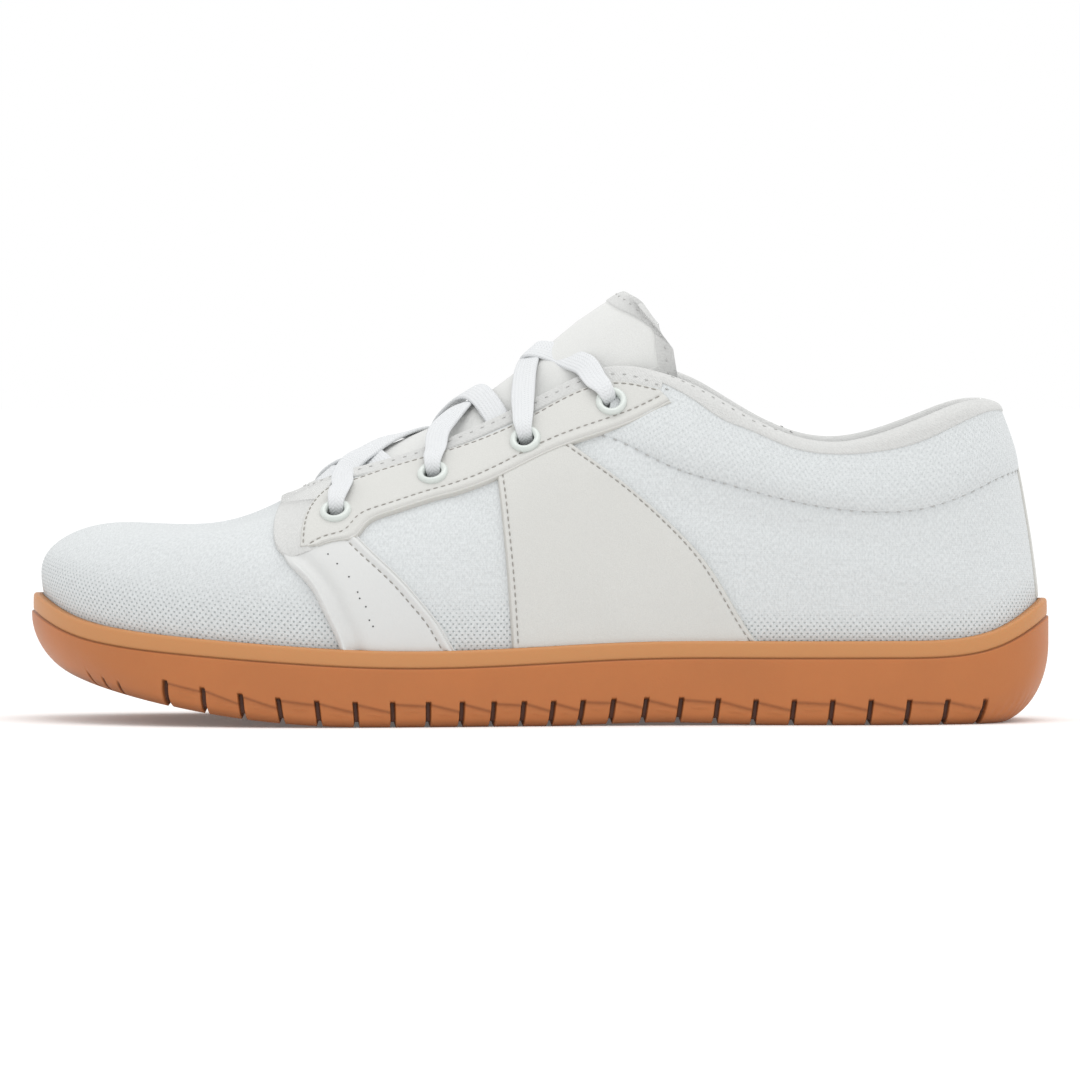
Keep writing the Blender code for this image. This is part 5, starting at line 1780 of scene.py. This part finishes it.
def build_tongue():
    """Padded suede tongue with a tape folded round its free edge."""
    row, across, from_side, from_tip = tongue_grid()
    face = tongue_face(row, across)
    normal = tongue_normal(row, across)
    from_edge = np.minimum(from_side, from_tip)
    half = TONGUE_THICKNESS / 2
    free = smooth_step(TAPE_START_ROW, TAPE_START_ROW + 0.5, row)
    tape = 0.42 * MM * free * rounded(TONGUE_BINDING_WIDTH + 0.05 * MM - from_edge, 0.35 * MM)
    puff = 0.5 * MM * free * smooth_step(TONGUE_BINDING_WIDTH, TONGUE_BINDING_WIDTH + 6 * MM, from_edge)
    body = rounded(from_edge, half)
    middle = face - normal * half
    outer = middle + normal * (half * body + np.maximum(tape * body, puff))[..., None]
    inner = middle - normal * (half * body + tape * body)[..., None]
    rows, columns = outer.shape[:2]
    faces = grid_faces(rows, columns)
    points = np.concatenate([outer.reshape(-1, 3), inner.reshape(-1, 3)])
    uv = np.concatenate([grid_uv(outer).reshape(-1, 2), grid_uv(inner).reshape(-1, 2)])
    on_tape = from_edge.ravel()[faces].max(axis=1) < TONGUE_BINDING_WIDTH + 0.1 * MM
    on_tape &= row.ravel()[faces].min(axis=1) > TAPE_START_ROW
    all_faces = np.concatenate([faces, faces[:, ::-1] + rows * columns]).tolist()
    all_faces += border_faces(rows, columns)
    looks = np.concatenate([on_tape * 1, np.where(on_tape, 1, 2)])
    looks = np.concatenate([looks, np.ones(len(all_faces) - len(looks), dtype=int)])
    piece = add_piece("tongue_pad", points, all_faces, ["tongue", "tape", "lining"], uv=uv, face_looks=looks,
                      edge_wear=0.0)
    dress(piece, "white_cotton", "tongue")


def border_faces(rows, columns):
    """Quads that join the borders of two like grids stored one after the other."""
    offset = rows * columns
    border = list(range(columns))
    border += [r * columns + columns - 1 for r in range(1, rows)]
    border += [(rows - 1) * columns + c for c in range(columns - 2, -1, -1)]
    border += [r * columns for r in range(rows - 2, 0, -1)]
    pairs = zip(border, border[1:] + border[:1])
    return [[here, there, offset + there, offset + here] for here, there in pairs]


def tongue_stitches(distance, lift):
    """Lines in the tongue's tape at a distance from its edge: up both sides and across the tip."""
    row, across, from_side, from_tip = tongue_grid()
    tip = int(np.argmin(np.abs(from_tip[:, 0] - distance)))
    start = int(np.argmax(row[:, 0] > 5.0))
    column = int(np.argmin(np.abs(from_side[0, :20] - distance)))
    ways = [(slice(start, tip + 1), column), (slice(start, tip + 1), row.shape[1] - 1 - column),
            (tip, slice(column, row.shape[1] - column))]
    lines = []
    for way in ways:
        normal = tongue_normal(row[way], across[way])
        lines.append((tongue_face(row[way], across[way]) + normal * lift, normal))
    return lines


# Eyelets and lace

def face_frame(side, i, lift):
    """Centre over the eyestay, outward direction and two directions along the face."""
    centre, normal, _ = EYELET_AXES[side, i]
    across = unit(np.cross(normal, (0.0, 0.0, 1.0)))
    return centre + normal * lift, normal, across, np.cross(normal, across)


def eyelet_profile():
    """Radius, height over the eyestay and bore shade of each ring, from the bore's floor to the flange."""
    bore, flange = EYELET_BORE / 2, EYELET_FLANGE / 2
    middle, half = (bore + flange) / 2, (flange - bore) / 2
    profile = [
        (bore - 0.1 * MM, -4.6 * MM, 1.0),
        (bore - 0.05 * MM, -2.6 * MM, 1.0),
        (bore, -0.9 * MM, 0.45),
        (bore, -0.1 * MM, 0.0),
    ]
    for angle in np.radians(np.linspace(165, 0, 9)):
        profile.append((middle + half * math.cos(angle), 0.15 * MM + 0.95 * MM * math.sin(angle), 0.0))
    return profile + [(flange, -0.5 * MM, 0.0)]


def build_eyelets():
    """Enamelled rings with a rolled flange, a bore with painted shade, and a floor that is a disc of painted
    shade.
    """
    profile = eyelet_profile()
    turns = np.linspace(0, 2 * math.pi, EYELET_SIDES, endpoint=False)
    shade = np.repeat([hole_shade for _, _, hole_shade in profile], EYELET_SIDES)
    faces = grid_faces(len(profile), EYELET_SIDES, close_columns=True).tolist()
    # The bore's floor is a disc of painted shade
    looks = [0] * len(faces) + [1]
    faces.append(list(range(EYELET_SIDES)))
    for side, word in SIDES:
        for i in range(EYELET_ROWS):
            centre, normal, across, ahead = face_frame(side, i, SUEDE_LIFT)
            ring = across * np.cos(turns)[:, None] + ahead * np.sin(turns)[:, None]
            points = np.array([centre + normal * height + ring * radius for radius, height, _ in profile])
            facing = np.tile(ring * 0.3 + normal, (len(profile), 1))
            facing[:2 * EYELET_SIDES] = np.tile(-ring, (2, 1))
            piece = add_piece(f"eyelet_ring_{word}_{i + 1}", points, faces, ["enamel", "hole_shade"],
                              facing=facing, face_looks=looks, bore_shade=shade)
            dress(piece, "pale_enamel", f"eyelet_{word}_{i + 1}")


def hole_turn(side, i, goal, outwards):
    """A strand's way through an eyelet: points, face directions, widths and thicknesses."""
    centre, normal, _, _ = face_frame(side, i, SUEDE_LIFT)
    pull = goal - centre
    pull = unit(pull - normal * (pull @ normal))
    rows = []
    for up, along, face_pull, face_up, width, thickness in zip(*HOLE_TURN.values()):
        point = centre + normal * up * MM + pull * along * MM
        face = unit(pull * face_pull + normal * face_up)
        rows.append((point, face, width * MM, thickness * MM))
    return rows if outwards else rows[::-1]


def opening_half_width(along):
    """Half width of the opening at a share of the length."""
    order = np.argsort(UPPER["edge_along"])
    return np.interp(along, UPPER["edge_along"][order], UPPER["edge_lateral"][order]) * BALL_WIDTH


def strand_place(along, height, across, side):
    """A place of a strand and the direction that its face points in."""
    if across > 1 or across < -1.1:
        here = side if across > 0 else -side
        lift = SUEDE_LIFT + STRAND_LIFT
        station, rise = placed_under(np.array([along]), np.array([height]), here, lift)[0]
        return skin(station, rise, lift)
    y = side * across * opening_half_width(along) + TONGUE_SHIFT - MIDDLE[1]
    point = np.array([x_at(along), y, height * QUARTER_HEIGHT])
    return point, unit((0.48, side * across + 0.35, 0.86))


def strand_rows(i, side):
    """A strand from an eyelet over the tongue: under the other edge, or into the last eyelet."""
    strand = (NEAR_STRANDS if side > 0 else FAR_STRANDS)[i]
    route_places = [strand_place(*row, side) for row in zip(*strand.values())]
    crosses = i == EYELET_ROWS - 2
    pulled = (0, len(route_places) - 1) if crosses else (0,)
    rows = hole_turn(side, i, route_places[0][0], True)
    for n, (point, normal) in enumerate(route_places):
        rows.append((point, normal, LACE_PULLED_WIDTH if n in pulled else LACE_WIDTH, LACE_THICKNESS))
    if crosses:
        rows += hole_turn(-side, i + 1, route_places[-1][0], False)
    return rows


def bar_rows():
    """The straight bar over the tongue between the first eyelets."""
    row = tongue_row_at(EYELETS["along"][0]) - 0.12
    rows = []
    for across, over in zip(*FIRST_BAR.values()):
        normal = tongue_normal(row, across)
        point = tongue_face(row, across) + normal * over * LACE_THICKNESS
        rows.append((point, normal, LACE_WIDTH, LACE_THICKNESS))
    return rows


def lace_section():
    """Shares of half the width and half the thickness round the lace's soft-edged section."""
    section = []
    for angle in np.linspace(0, 2 * math.pi, LACE_SIDES, endpoint=False):
        c, s = math.cos(angle), math.sin(angle)
        section.append((math.copysign(abs(c) ** 0.42, c), math.copysign(abs(s) ** 0.75, s)))
    return section


def sweep_lace(name, rows, nodes=()):
    """A flat lace with soft edges along a route of points, face directions, widths and thicknesses."""
    points, normals, widths, thicknesses = (np.array(part) for part in zip(*rows))
    length = run_lengths(points)
    at = np.linspace(0, length[-1], max(40, int(length[-1] / (0.55 * MM))))
    line = spline(length, points, at)
    normal = columns_at(at, length, normals)
    kernel = np.ones(7) / 7
    padded = np.pad(normal, ((3, 3), (0, 0)), mode="edge")
    normal = np.stack([np.convolve(column, kernel, mode="valid") for column in padded.T], axis=-1)
    width = spline(length, widths, at) / 2
    thick = spline(length, thicknesses, at) / 2
    run = unit(np.gradient(line, axis=0))
    across = unit(np.cross(run, normal))
    normal = np.cross(across, run)
    section = lace_section()
    rings = []
    for a, b in section:
        dent = 1 - 0.16 * math.exp(-(a / 0.25) ** 2)
        rings.append(line + across * (width * a)[:, None] + normal * (thick * b * dent)[:, None])
    grid = np.array(rings).transpose(1, 0, 2)
    last = (len(grid) - 1) * LACE_SIDES
    faces = grid_faces(len(grid), LACE_SIDES, close_columns=True).tolist()
    faces.append(list(range(LACE_SIDES)))
    faces.append(list(range(last + LACE_SIDES - 1, last - 1, -1)))
    side = width[:, None] * np.array([a for a, _ in section])
    uv = side_by_side(np.broadcast_to(at[:, None], side.shape), side)
    return dress(add_piece(name, grid, faces, ["lace"], uv=uv), "white_cotton", *nodes)


def build_lace():
    """Lace bar and crossings, each crossing of two strands that run out of their eyelets."""
    sweep_lace("lace_bar", bar_rows())
    for i in range(EYELET_ROWS - 1):
        for side, word in ((-1, "under"), (1, "over")):
            sweep_lace(f"lace_{word}_{i + 1}", strand_rows(i, side), [f"lace_crossing_{i + 1}"])


# Stitches and punched holes

def node_in(tree, kind, settings=None, **sockets):
    """A Geometry Nodes node with its settings, then its sockets. A node stands for its first output."""
    made = tree.nodes.new(kind)
    for key, value in (settings or {}).items():
        setattr(made, key, value)
    for key, value in sockets.items():
        socket = made.inputs[key.replace("_", " ")]
        if isinstance(value, bpy.types.Node):
            value = value.outputs[0]
        if isinstance(value, bpy.types.NodeSocket):
            tree.links.new(value, socket)
        else:
            socket.default_value = value
    return made


def group_with(name, inputs):
    """A Geometry Nodes group with named inputs, and its inputs' sockets."""
    tree = bpy.data.node_groups.new(name, "GeometryNodeTree")
    tree.interface.new_socket("Geometry", in_out="INPUT", socket_type="NodeSocketGeometry")
    for key, kind in inputs.items():
        tree.interface.new_socket(key, in_out="INPUT", socket_type=kind)
    tree.interface.new_socket("Geometry", in_out="OUTPUT", socket_type="NodeSocketGeometry")
    return tree, tree.nodes.new("NodeGroupInput").outputs


def finish_group(tree, geometry, material):
    """Gives the grown shapes their material and ends the group."""
    done = node_in(tree, "GeometryNodeSetMaterial", Geometry=geometry, Material=material)
    tree.links.new(done.outputs[0], tree.nodes.new("NodeGroupOutput").inputs[0])
    return tree


def stored_normal(tree):
    """The direction that the surface faces in, stored on the points of the lines."""
    settings = {"data_type": "FLOAT_VECTOR"}
    return node_in(tree, "GeometryNodeInputNamedAttribute", settings, Name="face_normal")


def stitch_group():
    """Stitches along lines: a small capsule at every pitch, laid along the line on the surface."""
    tree, given = group_with("stitch_rows", {
        "Pitch": "NodeSocketFloat", "Stitch Length": "NodeSocketFloat", "Thread Width": "NodeSocketFloat",
        "Thread": "NodeSocketMaterial",
    })
    curve = node_in(tree, "GeometryNodeMeshToCurve", Mesh=given["Geometry"])
    stops = node_in(tree, "GeometryNodeResampleCurve", {"mode": "LENGTH"}, Curve=curve,
                    Length=given["Pitch"])
    tangent = node_in(tree, "GeometryNodeInputTangent")
    along = node_in(tree, "FunctionNodeAlignRotationToVector", {"axis": "X"}, Vector=tangent)
    settings = {"axis": "Z", "pivot_axis": "X"}
    turn = node_in(tree, "FunctionNodeAlignRotationToVector", settings, Rotation=along,
                   Vector=stored_normal(tree))
    width = given["Thread Width"]
    size = node_in(tree, "ShaderNodeCombineXYZ", X=given["Stitch Length"], Y=width, Z=width)
    thread = node_in(tree, "GeometryNodeMeshUVSphere", Segments=8, Rings=6, Radius=0.5)
    placed = node_in(tree, "GeometryNodeInstanceOnPoints", Points=stops, Instance=thread,
                     Rotation=turn, Scale=size)
    real = node_in(tree, "GeometryNodeRealizeInstances", Geometry=placed)
    smooth = node_in(tree, "GeometryNodeSetShadeSmooth", Geometry=real)
    return finish_group(tree, smooth, given["Thread"])


def hole_group():
    """Punched holes at points: a small dish of painted shade at each, facing out of the surface."""
    inputs = {"Hole Width": "NodeSocketFloat", "Hole Shade": "NodeSocketMaterial"}
    tree, given = group_with("punched_holes", inputs)
    turn = node_in(tree, "FunctionNodeAlignRotationToVector", {"axis": "Z"}, Vector=stored_normal(tree))
    dish = node_in(tree, "GeometryNodeMeshCircle", {"fill_type": "NGON"}, Vertices=14, Radius=0.5)
    placed = node_in(tree, "GeometryNodeInstanceOnPoints", Points=given["Geometry"], Instance=dish,
                     Rotation=turn, Scale=given["Hole Width"])
    real = node_in(tree, "GeometryNodeRealizeInstances", Geometry=placed)
    return finish_group(tree, real, given["Hole Shade"])


def grown_piece(name, tree, lines, values, slot):
    """Runs a node group over lines of points and face directions, and keeps the result as a plain mesh."""
    points, normals, edges = [], [], []
    for line, normal in lines:
        first = len(points)
        points.extend(line.tolist())
        normals.extend(normal.tolist())
        edges += [(first + i, first + i + 1) for i in range(len(line) - 1)]
    mesh = bpy.data.meshes.new(name)
    mesh.from_pydata(points, edges, [])
    stored = mesh.attributes.new("face_normal", "FLOAT_VECTOR", "POINT")
    stored.data.foreach_set("vector", np.array(normals).ravel())
    carrier = shown(name + "_lines", mesh)
    modifier = carrier.modifiers.new(name, "NODES")
    modifier.node_group = tree
    for item in tree.interface.items_tree:
        if item.in_out == "INPUT" and item.name in values:
            modifier[item.identifier] = values[item.name]
    depsgraph = bpy.context.evaluated_depsgraph_get()
    depsgraph.update()
    grown = bpy.data.meshes.new_from_object(carrier.evaluated_get(depsgraph), depsgraph=depsgraph)
    bpy.data.objects.remove(carrier, do_unlink=True)
    return dress(shown(name, grown), slot)


def panel_line(edges, distance, lift, from_second=False):
    """A line in a panel at a distance from one of its edges."""
    near_edge, far_edge = edges[::-1] if from_second else edges
    index = np.linspace(0, 1, LINE_POINTS)
    lines = [columns_at(index, np.linspace(0, 1, len(edge)), edge) for edge in (near_edge, far_edge)]
    near, far = (skin(line[:, 0], line[:, 1])[0] for line in lines)
    share = np.clip(distance / np.linalg.norm(far - near, axis=1), 0, 1)[:, None]
    middle = lines[0] * (1 - share) + lines[1] * share
    points, normals = skin(middle[:, 0], middle[:, 1], lift)
    length = run_lengths(points)
    keep = (length > LINE_TRIM) & (length < length[-1] - LINE_TRIM)
    return points[keep], normals[keep]


def seam_lines():
    """Lines of the grey stitches that hold the overlays."""
    lines = []
    for side, _ in SIDES:
        eyestay = edge_pair(EYESTAY_EDGES, side, 200)
        lines.append(panel_line(eyestay, FOLD_STITCH, SUEDE_LIFT - 0.16 * MM))
        lines.append(panel_line(eyestay, EDGE_STITCH, SUEDE_LIFT - 0.05 * MM, from_second=True))
        strip = edge_pair(STRIP_EDGES, side, 120)
        lines.append(panel_line(strip, FOLD_STITCH, LEATHER_LIFT - 0.16 * MM, from_second=True))
        saddle = edge_pair(SADDLE_EDGES, side, 120)
        for from_second in (False, True):
            lines.append(panel_line(saddle, SADDLE_STITCH, SADDLE_LIFT - 0.10 * MM, from_second))
    return lines


def pale_lines():
    """Lines of the white stitches on the bindings, the collar seam and the heel strip."""
    seam = seam_curve()
    points, normals = skin(seam[:, 0], seam[:, 1], 0.15 * MM)
    lines = [(points, normals)]
    half = station_of(0.40)
    collar = np.linspace(-half, half, 300)
    over = 1 - smooth_step(station_of(0.23), station_of(0.30), np.abs(collar))
    lines.append(edge_roll(collar, 0.58 * MM, math.radians(46) + math.radians(110) * over))
    throat = np.linspace(half, 2 - half, 300)
    lines.append(skin(throat, rise_below_edge(throat, 2.2 * MM), 0.55 * MM))
    return lines + tongue_stitches(3.4 * MM, 0.45 * MM)


def hole_points():
    """Punched holes of the forefoot strips."""
    lines = []
    for side, _ in SIDES:
        places = VIEW.place(STRIP_HOLES["along"], STRIP_HOLES["height"], side)
        front = VIEW.curve(STRIP_FRONT, side, 60)
        start, _ = skin(front[:, 0], front[:, 1])
        points, normals = skin(places[:, 0], places[:, 1])
        reach = np.array([np.min(np.linalg.norm(start - point, axis=1)) for point in points])
        lift = LEATHER_LIFT - strip_trough(reach) + 0.08 * MM
        lines.append((points + normals * lift[:, None], normals))
    return lines


def build_stitching():
    """All stitches, and the painted shade in the punched holes."""
    stitches = stitch_group()
    rows = (
        ("seam_stitches", seam_lines(), 2.15, 1.5, 0.42, "thread"),
        ("binding_stitches", pale_lines(), 3.3, 1.1, 0.50, "pale_thread"),
    )
    for name, lines, pitch, length, width, look in rows:
        sizes = {"Pitch": pitch * MM, "Stitch Length": length * MM, "Thread Width": width * MM}
        grown_piece(name, stitches, lines, {**sizes, "Thread": LOOKS[look]}, "white_cotton")
    holes = {"Hole Width": 0.48 * MM, "Hole Shade": LOOKS["hole_shade"]}
    grown_piece("punched_holes", hole_group(), hole_points(), holes, "white_leather")


# Studio

def build_studio():
    """White floor, even white surroundings, a soft light above and the photograph's camera."""
    mesh = bpy.data.meshes.new("studio_floor")
    reach = FLOOR_REACH
    corners = [(-reach, -reach, 0), (reach, -reach, 0), (reach, reach, 0), (-reach, reach, 0)]
    mesh.from_pydata(corners, [], [(0, 1, 2, 3)])
    mesh.materials.append(floor_material())
    floor = shown("studio_floor", mesh)
    world = bpy.data.worlds.new("studio")
    world.use_nodes = True
    background = world.node_tree.nodes["Background"].inputs
    background["Color"].default_value = (1.0, 1.0, 1.0, 1.0)
    background["Strength"].default_value = 1.0
    bpy.context.scene.world = world
    light = bpy.data.lights.new("top_box", "AREA")
    light.shape = "SQUARE"
    light.size = LIGHT_SIZE
    light.energy = LIGHT_POWER
    aimed("top_box", light, LIGHT_PLACE, LIGHT_TARGET)
    rise = math.radians(VIEW_ELEVATION)
    place = Vector(VIEW_CENTRE) + Vector((0.0, math.cos(rise), math.sin(rise))) * VIEW_DISTANCE
    camera = aimed("photo_camera", bpy.data.cameras.new("photo_camera"), place, VIEW_CENTRE)
    camera.data.sensor_width = SENSOR_WIDTH
    camera.data.lens = SENSOR_WIDTH * VIEW_DISTANCE / VIEW_WIDTH
    camera.data.clip_end = 50.0
    bpy.context.scene.camera = camera
    bpy.context.scene.view_settings.view_transform = "Standard"


def aimed(name, data, place, target):
    """A light or camera at a place, turned to a target."""
    made = shown(name, data)
    made.location = place
    made.rotation_euler = (Vector(target) - Vector(place)).to_track_quat("-Z", "Y").to_euler()
    return made


build_studio()
build_sole()
build_upper()
build_insole()
build_overlays()
build_collar()
build_throat()
build_heel_strip()
build_tongue()
build_eyelets()
build_lace()
build_stitching()
